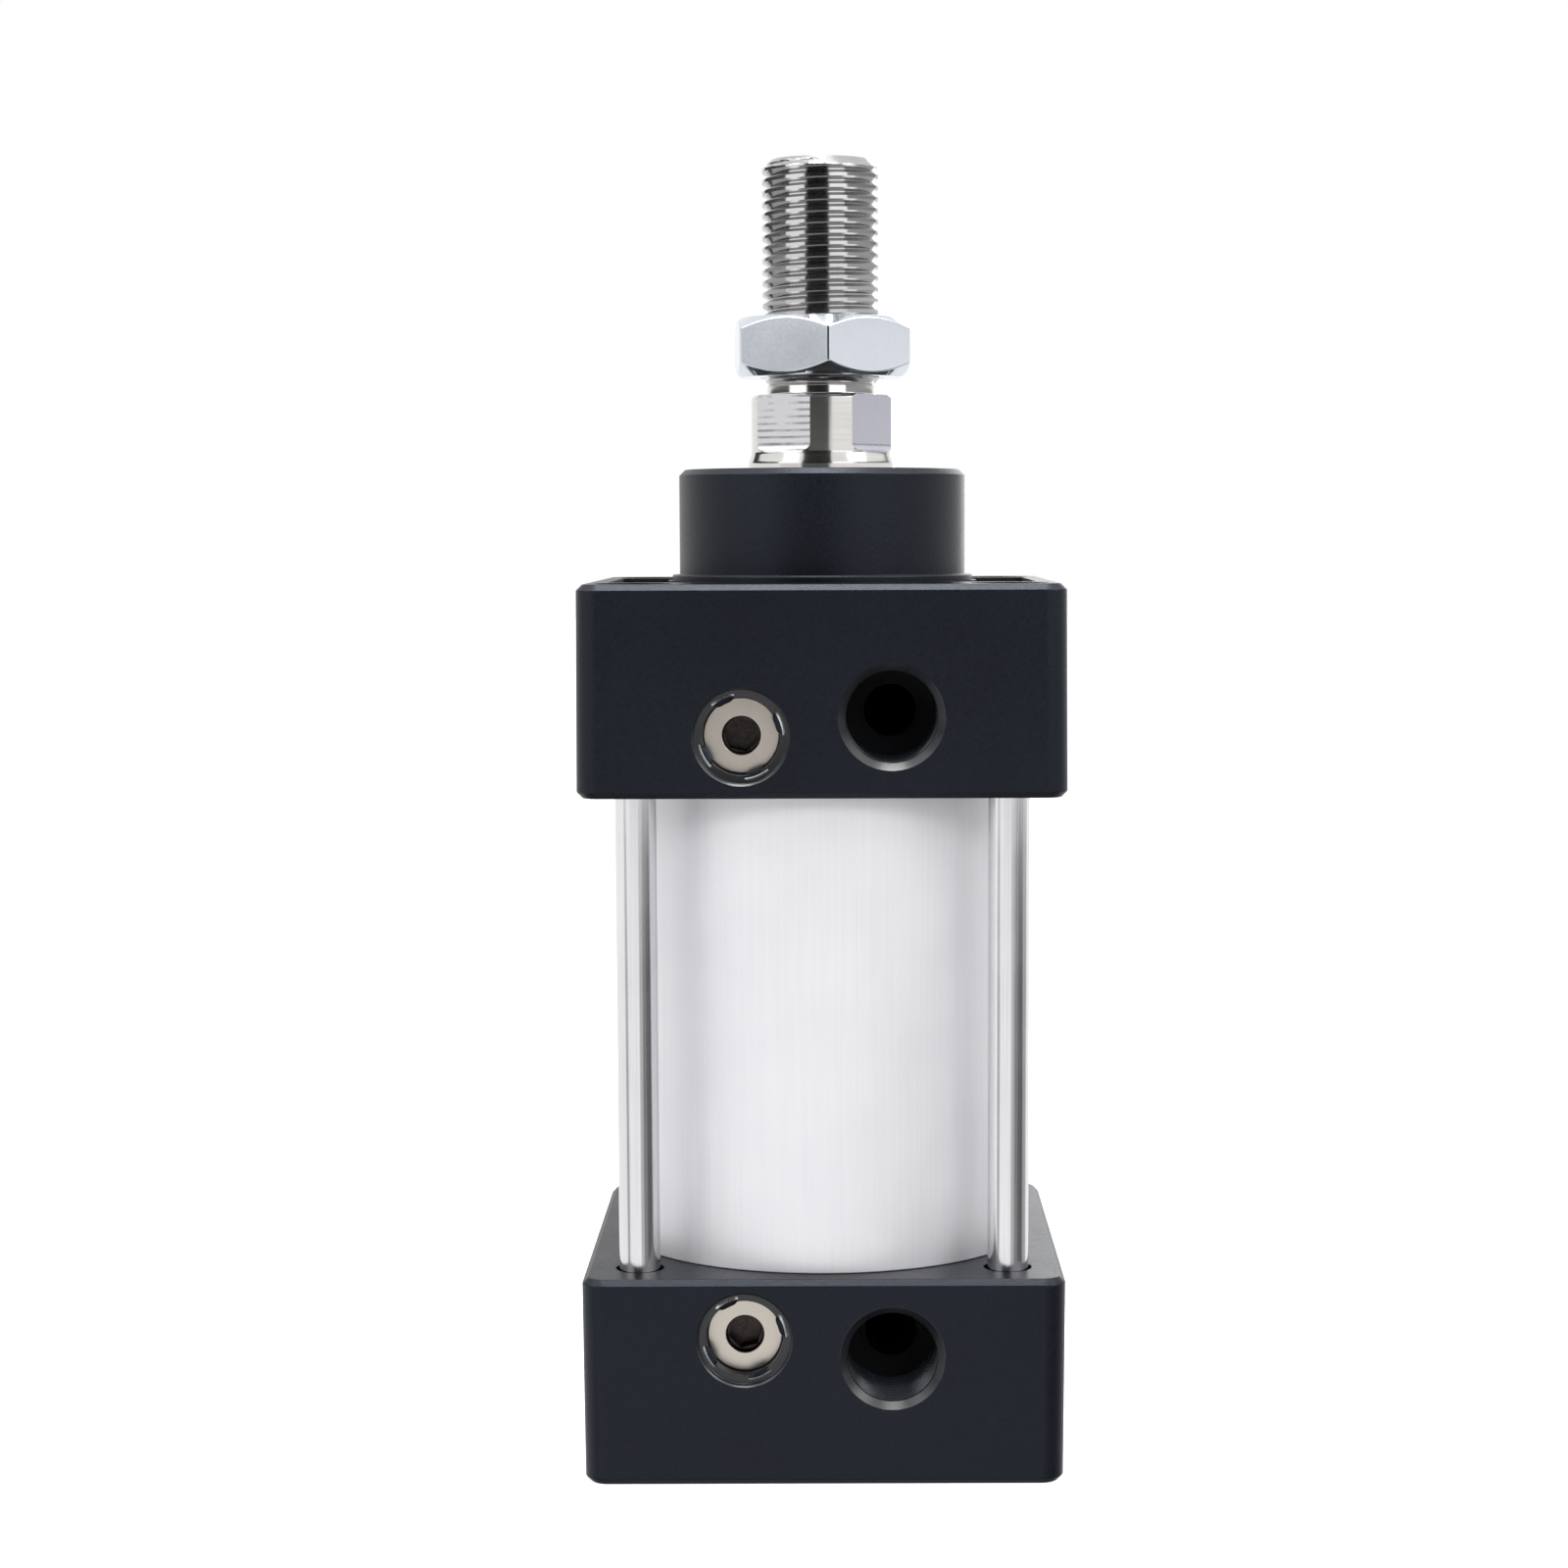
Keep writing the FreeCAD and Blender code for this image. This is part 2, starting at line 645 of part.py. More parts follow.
def write_rod():
    write("piston_rod", piston_rod())
    write("rod_nut", rod_nut())
    write("front_plunger", front_plunger())
    write("rear_plunger", rear_plunger())


os.makedirs("parts", exist_ok=True)
write_housing()
write_cushion_screws()
write_piston()
write_rod()
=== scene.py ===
import math

import bmesh
import bpy
from mathutils import Matrix, Vector


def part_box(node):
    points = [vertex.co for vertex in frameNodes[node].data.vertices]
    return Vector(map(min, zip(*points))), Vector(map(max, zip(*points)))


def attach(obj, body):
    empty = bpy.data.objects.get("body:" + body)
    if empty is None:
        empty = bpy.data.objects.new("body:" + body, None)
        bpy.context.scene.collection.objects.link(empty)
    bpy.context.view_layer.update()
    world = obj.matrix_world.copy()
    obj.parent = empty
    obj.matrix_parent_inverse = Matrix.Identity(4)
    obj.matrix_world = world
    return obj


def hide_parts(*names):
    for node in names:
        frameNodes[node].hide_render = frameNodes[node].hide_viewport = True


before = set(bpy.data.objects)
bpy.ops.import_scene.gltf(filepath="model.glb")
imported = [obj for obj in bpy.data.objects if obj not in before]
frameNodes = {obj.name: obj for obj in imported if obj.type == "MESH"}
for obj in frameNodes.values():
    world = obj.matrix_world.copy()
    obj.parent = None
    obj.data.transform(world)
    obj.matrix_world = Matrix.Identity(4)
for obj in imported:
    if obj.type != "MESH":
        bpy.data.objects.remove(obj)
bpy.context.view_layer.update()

# Shapes are drawn in millimetres, and each finished piece is scaled to metres.
mm = 0.001
spare = 1.0                   # how far a tool or a joined body reaches past the surface it meets


def boxInMm(node):
    low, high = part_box(node)
    return low / mm, high / mm


# Levels along the cylinder's axis, read from the frame
rearInner = boxInMm("barrel")[0].z
frontInner = boxInMm("barrel")[1].z
bossTop = boxInMm("front_cover")[1].z
rodLow = boxInMm("piston_rod")[0].z
rodEnd = boxInMm("piston_rod")[1].z
nutLow = boxInMm("rod_nut")[0].z
nutHigh = boxInMm("rod_nut")[1].z


def onCircle(radius, angle, *level):
    return (radius * math.cos(angle), radius * math.sin(angle), *level)


def easedOutline(corners, closed=False, steps=4):
    # Each corner is (across, along, radius), and its radius turns it into an arc.
    points = []
    count = len(corners)
    for index, (across, along, radius) in enumerate(corners):
        here = Vector((across, along))
        if radius <= 0 or (not closed and index in (0, count - 1)):
            points.append(here)
            continue
        before = (Vector(corners[index - 1][:2]) - here).normalized()
        after = (Vector(corners[(index + 1) % count][:2]) - here).normalized()
        halfTurn = (math.pi - before.angle(after)) / 2
        centre = here + (before + after).normalized() * radius / math.cos(halfTurn)
        first = here + before * radius * math.tan(halfTurn) - centre
        last = here + after * radius * math.tan(halfTurn) - centre
        for step in range(steps + 1):
            points.append(centre + first.lerp(last, step / steps).normalized() * radius)
    return points


def bridgeRings(bm, lower, upper):
    # Joins two rings of points with faces; a ring on the axis is a single point.
    count = max(len(lower), len(upper))
    for i in range(count):
        j = (i + 1) % count
        if len(lower) == 1:
            bm.faces.new((lower[0], upper[i], upper[j]))
        elif len(upper) == 1:
            bm.faces.new((lower[i], lower[j], upper[0]))
        else:
            bm.faces.new((lower[i], lower[j], upper[j], upper[i]))


def lathe(outline, segments=96, closed=False):
    # Turns an outline of (radius, level) points about Z. A point on the axis stays one point.
    bm = bmesh.new()
    rings = []
    for radius, level in outline:
        if radius == 0:
            rings.append([bm.verts.new((0, 0, level))])
            continue
        angles = [2 * math.pi * i / segments for i in range(segments)]
        rings.append([bm.verts.new(onCircle(radius, angle, level)) for angle in angles])
    for lower, upper in zip(rings, rings[1:]):
        bridgeRings(bm, lower, upper)
    if closed:
        bridgeRings(bm, rings[-1], rings[0])
    return bm


def makeObject(name, bm, *materials):
    bmesh.ops.recalc_face_normals(bm, faces=bm.faces)
    mesh = bpy.data.meshes.new(name)
    bm.to_mesh(mesh)
    bm.free()
    for material in materials:
        mesh.materials.append(material)
    piece = bpy.data.objects.new(name, mesh)
    bpy.context.scene.collection.objects.link(piece)
    return piece


def shift(piece, matrix):
    piece.data.transform(matrix)
    if matrix.determinant() < 0:
        piece.data.flip_normals()
    return piece


def carve(piece, tools, operation="DIFFERENCE"):
    # Cuts, joins or intersects the piece with the tools, then deletes them.
    for tool in tools:
        modifier = piece.modifiers.new(tool.name, "BOOLEAN")
        modifier.operation = operation
        modifier.solver = "EXACT"
        modifier.object = tool
        modifier.material_mode = "TRANSFER"
    bakeModifiers(piece)
    for tool in tools:
        mesh = tool.data
        bpy.data.objects.remove(tool)
        bpy.data.meshes.remove(mesh)
    return piece


def bakeModifiers(piece):
    # Replaces the piece's mesh by what its modifiers make of it.
    graph = bpy.context.evaluated_depsgraph_get()
    old = piece.data
    piece.data = bpy.data.meshes.new_from_object(piece.evaluated_get(graph))
    piece.modifiers.clear()
    name = old.name
    bpy.data.meshes.remove(old)
    piece.data.name = name


def addPiece(piece, body, replaced=(), edgeBreak=0.0, breakAngle=35, sharpAngle=32):
    # Breaks the sharp edges, sets the shading, scales to metres and hangs it on its body.
    if edgeBreak:
        bevel = piece.modifiers.new("edgeBreak", "BEVEL")
        bevel.width = edgeBreak
        bevel.segments = 2
        bevel.limit_method = "ANGLE"
        bevel.angle_limit = math.radians(breakAngle)
        bevel.use_clamp_overlap = True
        bakeModifiers(piece)
    piece.data.transform(Matrix.Scale(mm, 4))
    piece.data.shade_smooth()
    piece.data.set_sharp_from_angle(angle=math.radians(sharpAngle))
    weighted = piece.modifiers.new("evenShading", "WEIGHTED_NORMAL")
    weighted.keep_sharp = True
    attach(piece, body)
    if replaced:
        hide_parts(*replaced)
    return piece


# Materials

def linearColour(hexColour):
    # An sRGB hex colour as the linear values that Blender's sockets hold.
    channels = [int(hexColour[i:i + 2], 16) / 255 for i in (1, 3, 5)]
    return [c / 12.92 if c <= 0.04045 else ((c + 0.055) / 1.055) ** 2.4 for c in channels] + [1]


def addNode(tree, kind, values=None, links=None, **options):
    # Sockets go by name, or by number where a node has several of one name.
    node = tree.nodes.new(kind)
    for option, value in options.items():
        setattr(node, option, value)
    for socket, value in (values or {}).items():
        node.inputs[socket].default_value = value
    for socket, source in (links or {}).items():
        tree.links.new(source, node.inputs[socket])
    return node


def perMetre(sizeInMm):
    # The texture scale whose pattern repeats about once in that many millimetres.
    return 1 / (sizeInMm * mm)


def startTree(owner):
    # Gives a material or a world an empty node tree.
    owner.use_nodes = True
    owner.node_tree.nodes.clear()
    return owner.node_tree


def inputSpan(low, high):
    return {"From Min": low, "From Max": high}


noiseSpan = inputSpan(0.3, 0.7)     # where most of a noise's values lie


def addMillingMarks(tree, shader, bump, marks):
    # Straight cutter lines across a wrench flat, one above the other, that fade in places.
    place = addNode(tree, "ShaderNodeTexCoord").outputs["Object"]
    waveScale = perMetre(marks["spacingMm"]) * math.pi / 10   # a band wave repeats every pi/10
    lines = addNode(tree, "ShaderNodeTexWave",
                    {"Scale": waveScale, "Distortion": marks["waver"], "Detail": 1.0,
                     "Detail Scale": 0.4},
                    {"Vector": place}, wave_type="BANDS", bands_direction="Z")
    narrow = addNode(tree, "ShaderNodeMapRange", inputSpan(*marks["lineSpan"]),
                     {"Value": lines.outputs["Fac"]})
    patches = addNode(tree, "ShaderNodeTexNoise", {"Scale": perMetre(marks["patchMm"])},
                      {"Vector": place})
    faded = addNode(tree, "ShaderNodeMapRange", inputSpan(*marks["patchSpan"]),
                    {"Value": patches.outputs[0]})
    mark = addNode(tree, "ShaderNodeMath", {}, {0: narrow.outputs[0], 1: faded.outputs[0]},
                   operation="MULTIPLY")
    plain = shader.inputs["Base Color"].links[0].from_socket
    lined = addNode(tree, "ShaderNodeMix", {7: linearColour(marks["colour"])},
                    {0: mark.outputs[0], 6: plain}, data_type="RGBA")
    tree.links.new(lined.outputs[2], shader.inputs["Base Color"])
    cut = addNode(tree, "ShaderNodeBump", {"Strength": marks["strength"],
                                           "Distance": marks["depthMm"] * mm},
                  {"Height": mark.outputs[0], "Normal": bump.outputs[0]})
    tree.links.new(cut.outputs[0], shader.inputs["Normal"])


def patterned(name, finish, stretch=(1, 1, 1), marks=None):
    # The common build of a finish: two tones, a roughness that wanders and a fine bump.
    material = bpy.data.materials.new(name)
    tree = startTree(material)
    shader = addNode(tree, "ShaderNodeBsdfPrincipled",
                     {"Metallic": finish["metallic"], **finish.get("sockets", {})})
    addNode(tree, "ShaderNodeOutputMaterial", links={"Surface": shader.outputs[0]})
    place = addNode(tree, "ShaderNodeTexCoord").outputs["Object"]
    grainPlace = addNode(tree, "ShaderNodeMapping", {"Scale": stretch}, {"Vector": place})
    cloud = addNode(tree, "ShaderNodeTexNoise", {"Scale": perMetre(finish["cloudMm"]), "Detail": 3},
                    {"Vector": place})
    grain = addNode(tree, "ShaderNodeTexNoise", {"Scale": perMetre(finish["grainMm"]), "Detail": 2},
                    {"Vector": grainPlace.outputs[0]})
    both = addNode(tree, "ShaderNodeMix", {0: finish["grainShare"]},
                   {2: cloud.outputs[0], 3: grain.outputs[0]})
    spread = addNode(tree, "ShaderNodeMapRange", noiseSpan, {"Value": both.outputs[0]})
    tone = addNode(tree, "ShaderNodeMix", {6: linearColour(finish["dark"]),
                                           7: linearColour(finish["light"])},
                   {0: spread.outputs[0]}, data_type="RGBA")
    tree.links.new(tone.outputs[2], shader.inputs["Base Color"])
    glossy, matt = finish["roughness"]
    rough = addNode(tree, "ShaderNodeMapRange", {**noiseSpan, "To Min": glossy, "To Max": matt},
                    {"Value": both.outputs[0]})
    tree.links.new(rough.outputs[0], shader.inputs["Roughness"])
    bump = addNode(tree, "ShaderNodeBump", {"Strength": finish["bump"],
                                            "Distance": finish["bumpMm"] * mm},
                   {"Height": grain.outputs[0]})
    tree.links.new(bump.outputs[0], shader.inputs["Normal"])
    if marks:
        addMillingMarks(tree, shader, bump, marks)
    return material


# Anodised aluminium, die cast and bead blasted first. The dyed oxide hides the metal, so it
# looks like a blue-black satin glaze: dark face on and pale at a grazing angle. The blast
# leaves a fine speckle; real shot marks are about 0.1 mm and are drawn at 0.35 mm to show.
anodisedCastAluminium = patterned(
    "anodisedCastAluminium",
    {"dark": "#07090D", "light": "#0F1219", "metallic": 0.0, "roughness": (0.33, 0.42),
     "cloudMm": 14.0, "grainMm": 0.35, "grainShare": 0.7, "bump": 0.55, "bumpMm": 0.04,
     "sockets": {"IOR": 1.37, "Specular Tint": linearColour("#DCE6FA")}})

# The same finish over a bored hole. The cutter left it smooth, and the clean oxide, which is
# alumina, shines more there.
anodisedBore = patterned(
    "anodisedBore",
    {"dark": "#090B0F", "light": "#12151B", "metallic": 0.0, "roughness": (0.28, 0.36),
     "cloudMm": 5.0, "grainMm": 0.3, "grainShare": 0.5, "bump": 0.2, "bumpMm": 0.01,
     "sockets": {"IOR": 1.62}})

# Port threads are tapped after the finish, so the cut metal shows through a dark film of
# oil: a little lighter than the bore, with soft highlights along each turn.
oiledTappedThread = patterned(
    "oiledTappedThread",
    {"dark": "#1B1E24", "light": "#2A2E36", "metallic": 0.3, "roughness": (0.22, 0.30),
     "cloudMm": 3.0, "grainMm": 0.3, "grainShare": 0.5, "bump": 0.2, "bumpMm": 0.01})

# The same finish down in the pockets and behind the ports, rough and a little darker so it reads
# dead black: the darker colour is painted shade in these deep hollows.
roughPocketWallPaintedShade = patterned(
    "roughPocketWallPaintedShade",
    {"dark": "#08090B", "light": "#0D0E11", "metallic": 0.0, "roughness": (0.75, 0.9),
     "cloudMm": 6.0, "grainMm": 0.6, "grainShare": 0.6, "bump": 0.4, "bumpMm": 0.06})

# Clear anodised aluminium tube, drawn over a mandrel. Drawing leaves faint lines along the
# axis and the bath a slight cloudiness in a soft silver.
clearAnodisedTube = patterned(
    "clearAnodisedTube",
    {"dark": "#DEDEE2", "light": "#E8E8EB", "metallic": 0.55, "roughness": (0.42, 0.50),
     "cloudMm": 16.0, "grainMm": 0.5, "grainShare": 0.35, "bump": 0.06, "bumpMm": 0.01},
    stretch=(1, 1, 0.02))

# Hard chromed steel, ground round. Grinding marks run round the rod, so fine that the
# surface is nearly a mirror.
groundChromedSteel = patterned(
    "groundChromedSteel",
    {"dark": "#D3D2CF", "light": "#E2E1DE", "metallic": 1.0, "roughness": (0.10, 0.16),
     "cloudMm": 6.0, "grainMm": 0.25, "grainShare": 0.5, "bump": 0.04, "bumpMm": 0.004},
    stretch=(0.03, 0.03, 1))

# The thread is rolled into the same steel: burnished flanks, sharp and bright.
rolledThreadSteel = patterned(
    "rolledThreadSteel",
    {"dark": "#B2B1B2", "light": "#C4C3C3", "metallic": 1.0, "roughness": (0.10, 0.16),
     "cloudMm": 4.0, "grainMm": 0.3, "grainShare": 0.5, "bump": 0.02, "bumpMm": 0.004},
    stretch=(0.05, 0.05, 1))

# Zinc plated steel, clear passivated: bright, slightly blue and a little milky.
brightZincPlate = patterned(
    "brightZincPlate",
    {"dark": "#D3D8E0", "light": "#DDE2EA", "metallic": 1.0, "roughness": (0.08, 0.12),
     "cloudMm": 5.0, "grainMm": 0.4, "grainShare": 0.4, "bump": 0.05, "bumpMm": 0.004})

# Cold drawn steel, bright plated. Drawing lines run along the rod.
drawnPlatedSteel = patterned(
    "drawnPlatedSteel",
    {"dark": "#DCDBDE", "light": "#ECEBEE", "metallic": 1.0, "roughness": (0.12, 0.19),
     "cloudMm": 8.0, "grainMm": 0.3, "grainShare": 0.6, "bump": 0.15, "bumpMm": 0.005},
    stretch=(1, 1, 0.01))

# Nickel plated brass, turned. The yellow below warms the grey of a satin nickel.
nickelPlatedBrass = patterned(
    "nickelPlatedBrass",
    {"dark": "#CCC4BA", "light": "#D8D0C7", "metallic": 1.0, "roughness": (0.27, 0.37),
     "cloudMm": 2.5, "grainMm": 0.2, "grainShare": 0.5, "bump": 0.20, "bumpMm": 0.006})

# The screw's socket is broached. Its mouth and socket are coloured almost black: painted shade down
# in the recess.
brassSocketPaintedShade = patterned(
    "brassSocketPaintedShade",
    {"dark": "#2B2624", "light": "#4A4442", "metallic": 1.0, "roughness": (0.28, 0.42),
     "cloudMm": 0.8, "grainMm": 0.2, "grainShare": 0.5, "bump": 0.3, "bumpMm": 0.02})

# Bare aluminium where a punch has broken through the anodising.
punchedBareAluminium = patterned(
    "punchedBareAluminium",
    {"dark": "#C9CCCF", "light": "#E6E8EA", "metallic": 1.0, "roughness": (0.22, 0.36),
     "cloudMm": 0.8, "grainMm": 0.15, "grainShare": 0.5, "bump": 0.3, "bumpMm": 0.01})

# Polyurethane and nitrile rubber, moulded: matt black, softly lit at the lips.
mouldedBlackRubber = patterned(
    "mouldedBlackRubber",
    {"dark": "#121213", "light": "#1C1C1E", "metallic": 0.0, "roughness": (0.5, 0.65),
     "cloudMm": 3.0, "grainMm": 0.3, "grainShare": 0.4, "bump": 0.3, "bumpMm": 0.01})

# Sintered bronze, pressed from powder: brown, open grained and dry.
sinteredBronze = patterned(
    "sinteredBronze",
    {"dark": "#6E4B2C", "light": "#94693F", "metallic": 1.0, "roughness": (0.4, 0.6),
     "cloudMm": 2.0, "grainMm": 0.25, "grainShare": 0.7, "bump": 0.5, "bumpMm": 0.02})

# Aluminium, turned: bright, with the tool's marks round it.
turnedAluminium = patterned(
    "turnedAluminium",
    {"dark": "#B9BABC", "light": "#D4D5D7", "metallic": 1.0, "roughness": (0.24, 0.36),
     "cloudMm": 6.0, "grainMm": 0.25, "grainShare": 0.6, "bump": 0.25, "bumpMm": 0.008},
    stretch=(0.04, 0.04, 1))

# Filled fluoropolymer strip, skived: dark green, waxy.
filledFluoropolymer = patterned(
    "filledFluoropolymer",
    {"dark": "#23392C", "light": "#2F4A3A", "metallic": 0.0, "roughness": (0.35, 0.5),
     "cloudMm": 3.0, "grainMm": 0.3, "grainShare": 0.5, "bump": 0.2, "bumpMm": 0.008})

# Rubber bonded ferrite, calendered: near black with a dull mineral sheen.
bondedFerrite = patterned(
    "bondedFerrite",
    {"dark": "#262325", "light": "#353134", "metallic": 0.0, "roughness": (0.45, 0.6),
     "cloudMm": 2.0, "grainMm": 0.2, "grainShare": 0.7, "bump": 0.25, "bumpMm": 0.01})

# Free cutting steel, turned and left bare.
turnedSteel = patterned(
    "turnedSteel",
    {"dark": "#A5A4A3", "light": "#C2C1BF", "metallic": 1.0, "roughness": (0.2, 0.32),
     "cloudMm": 5.0, "grainMm": 0.25, "grainShare": 0.6, "bump": 0.25, "bumpMm": 0.008},
    stretch=(0.04, 0.04, 1))

# Wrench flats, milled into the chromed rod. One pair was cut fast and shows the cutter's
# lines, the other pair is smooth.
linedMilledSteel = patterned(
    "linedMilledSteel",
    {"dark": "#D2D2D5", "light": "#E0E0E3", "metallic": 1.0, "roughness": (0.20, 0.28),
     "cloudMm": 4.0, "grainMm": 0.3, "grainShare": 0.5, "bump": 0.05, "bumpMm": 0.004},
    marks={"spacingMm": 0.9, "waver": 0.6, "lineSpan": (0.55, 0.95), "patchMm": 4.0,
           "patchSpan": (0.42, 0.6), "colour": "#A4A4A9", "strength": 0.35, "depthMm": 0.03})
milledSteel = patterned(
    "milledSteel",
    {"dark": "#BDBDC8", "light": "#C6C6D0", "metallic": 1.0, "roughness": (0.24, 0.30),
     "cloudMm": 4.0, "grainMm": 0.3, "grainShare": 0.3, "bump": 0.01, "bumpMm": 0.004})

print("materials made")


# End covers

coverSizes = {
    "side": 63.5,             # across the inner end
    "lean": 0.2,              # draft of each side over the length
    "length": rearInner,
    "corner": 3.0,
    "bevel": 0.8,
    "ease": 0.25,             # softens the bevel's own edges
    "endInset": 2.0,          # where the flat of each end starts
    "spigotLength": 6.0,
    "spigotGap": 0.02,        # keeps it off the piston at full stroke
    "spigotRadius": 24.95,
    "grooveDepth": 1.8,
    "grooveWidth": 2.4,
    "endLand": 1.2,
    "bossRadius": 19.5,
    "bossBevel": 0.8,
    "stepRadius": 20.5,
    "stepHeight": 0.8,
    "stepEase": 0.2,
    "footEase": 0.15,
}
pocketSizes = {
    "depth": 7.0,
    "reach": 17.0,
    "rim": 3.2,
    "rib": 1.8,
    "innerWall": 21.1,
    "corner": 1.2,
    "ribCorner": 0.5,
    "wallSteps": 12,
}
tieSizes = {
    "spread": 24.4,
    "radius": 2.7,
    "endEase": 0.6,
    "hole": 3.2,
    "holeShift": 0.38,        # the rods lean on the outer edge of their holes
    "nutBore": 5.15,
    "nutSeat": 9.7,
}
portSizes = {
    "across": 9.0,
    "level": 10.5,            # from the cover's inner face
    "mouth": 6.9,
    "mouthEase": 0.3,
    "bore": 5.9,
    "lip": 1.3,               # plain bore in front of the first thread
    "thread": 6.58,
    "threadClearance": 0.1,   # room round the thread's sleeve
    "depth": 14.0,
    "pointDepth": 1.376,      # the drill's point, as far as the passage
    "passage": 3.5,
    "faceClearance": 0.05,
}
screwSizes = {
    "across": -10.4,
    "level": 8.0,
    "rim": 6.1,
    "rimDepth": 1.2,
    "rimEase": 0.25,
    "floorEase": 0.15,
    "bore": 5.0,
    "boreEase": 0.12,
    "boreDepth": 15.0,
    "seat": 1.25,
    "recess": 3.6,
}
chamberSizes = {
    "front": {"radius": 15.0, "depth": 13.5},
    "rear": {"radius": 12.0, "depth": 15.5},
}
cushionGroove = {"depth": 1.6, "low": 1.0, "high": 5.6}     # levels from the spigot's end
guideSizes = {
    "hole": 10.4,
    "bushing": 11.54,
    "bushingLow": 15.5,
    "sealBore": 14.5,
    "sealLow": 35.5,
}
passageEnd = -5.0             # the side holes run into the cushion chamber


def sideAt(level):
    return coverSizes["side"] / 2 - coverSizes["lean"] * level / coverSizes["length"]


def roundedSquare(half, corner, level, steps=8):
    points = []
    for quarter in range(4):
        for step in range(steps + 1):
            angle = math.pi / 2 * (quarter + step / steps)
            middle = math.pi / 2 * quarter + math.pi / 4
            reach = (half - corner) * math.sqrt(2)
            points.append((reach * math.cos(middle) + corner * math.cos(angle),
                           reach * math.sin(middle) + corner * math.sin(angle), level))
    return points


def coverBlock(name):
    # The square body with a softened bevel round each end.
    size = coverSizes
    ease = size["ease"]
    bevel = size["bevel"]
    length = size["length"]
    profile = easedOutline([
        (size["endInset"], 0, 0), (bevel, 0, ease), (0, bevel, ease),
        (0, length - bevel, ease), (bevel, length, ease), (size["endInset"], length, 0)])
    bm = bmesh.new()
    rings = []
    for inset, level in profile:
        ring = roundedSquare(sideAt(level) - inset, size["corner"] - inset, level)
        rings.append([bm.verts.new(point) for point in ring])
    for lower, upper in zip(rings, rings[1:]):
        bridgeRings(bm, lower, upper)
    bm.faces.new(rings[0])
    bm.faces.new(rings[-1])
    return makeObject(name, bm, anodisedCastAluminium)


def prism(name, outline, low, high):
    bm = bmesh.new()
    lower = [bm.verts.new((x, y, low)) for x, y in outline]
    upper = [bm.verts.new((x, y, high)) for x, y in outline]
    bridgeRings(bm, lower, upper)
    bm.faces.new(lower)
    bm.faces.new(upper)
    return makeObject(name, bm)


def pocketTool(quarter):
    # One lightening pocket: a straight outer wall, ribs at 45 degrees and a round inner wall.
    size = pocketSizes
    wall = sideAt(coverSizes["length"]) - size["rim"]
    rib = size["rib"] * math.sqrt(2)
    meet = (math.sqrt(2 * size["innerWall"] ** 2 - rib ** 2) - rib) / 2
    start = math.atan2(-meet - rib, meet)
    sweep = math.pi + 2 * start
    steps = size["wallSteps"]
    angles = [start - sweep * i / steps for i in range(1, steps)]
    arc = [onCircle(size["innerWall"], angle, 0) for angle in angles]
    reach, corner, ribCorner = size["reach"], size["corner"], size["ribCorner"]
    corners = [(-reach, -wall, corner), (reach, -wall, corner),
               (reach, -reach - rib, corner), (meet, -meet - rib, ribCorner)]
    corners += arc + [(-meet, -meet - rib, ribCorner), (-reach, -reach - rib, corner)]
    tool = prism("pocketTool", easedOutline(corners, closed=True),
                 coverSizes["length"] - size["depth"], coverSizes["length"] + spare)
    # The pocket walls take the rough, darker finish: painted shade in the pockets.
    tool.data.materials.append(roughPocketWallPaintedShade)
    return shift(tool, Matrix.Rotation(math.pi / 2 * quarter, 4, "Z"))


def layInSide(piece, size, depth=0.0, turn=-90):
    # Lays a piece that is drawn along Z into the cover's -Y side, its level 0 at that depth.
    place = Matrix.Translation((size["across"], depth - sideAt(size["level"]), size["level"]))
    return shift(piece, place @ Matrix.Rotation(math.radians(turn), 4, "X"))


def portTool():
    size = portSizes
    mouth, bore, lip, depth = size["mouth"], size["bore"], size["lip"], size["depth"]
    outside = mouth + size["faceClearance"]
    sleeve = size["threadClearance"]
    end = sideAt(size["level"]) + passageEnd
    outline = [(0, -spare), (outside, -spare), (outside, 0)]
    outline += easedOutline([(mouth, 0, 0), (bore, mouth - bore, size["mouthEase"]), (bore, lip, 0)])
    outline += [(size["thread"] + sleeve, lip + sleeve), (size["thread"] + sleeve, depth),
                (size["passage"], depth + size["pointDepth"]), (size["passage"], end), (0, end)]
    # The drill's point and the passage behind it take the rough, darker finish: painted shade deep
    # in the port, so they stay black.
    tool = makeObject("portTool", lathe(outline), anodisedBore, roughPocketWallPaintedShade)
    for face in tool.data.polygons:
        face.material_index = 1 if face.center.z > depth else 0
    return layInSide(tool, size)


def screwTool():
    size = screwSizes
    rim, bore = size["rim"], size["bore"]
    outside = rim + size["rimEase"]
    end = sideAt(size["level"]) + passageEnd
    outline = [(0, -spare), (outside, -spare), (outside, 0)]
    outline += easedOutline([
        (rim, size["rimEase"], 0), (rim, size["rimDepth"], size["floorEase"]),
        (bore, size["rimDepth"], size["boreEase"]), (bore, size["boreDepth"], 0)])
    outline += [(size["seat"], size["boreDepth"]), (size["seat"], end), (0, end)]
    return layInSide(makeObject("screwTool", lathe(outline), anodisedBore), size)


def bar(name, radius, low, high, x=0.0, y=0.0, segments=64):
    tool = makeObject(name, lathe([(0, low), (radius, low), (radius, high), (0, high)], segments),
                      anodisedCastAluminium)
    return shift(tool, Matrix.Translation((x, y, 0)))


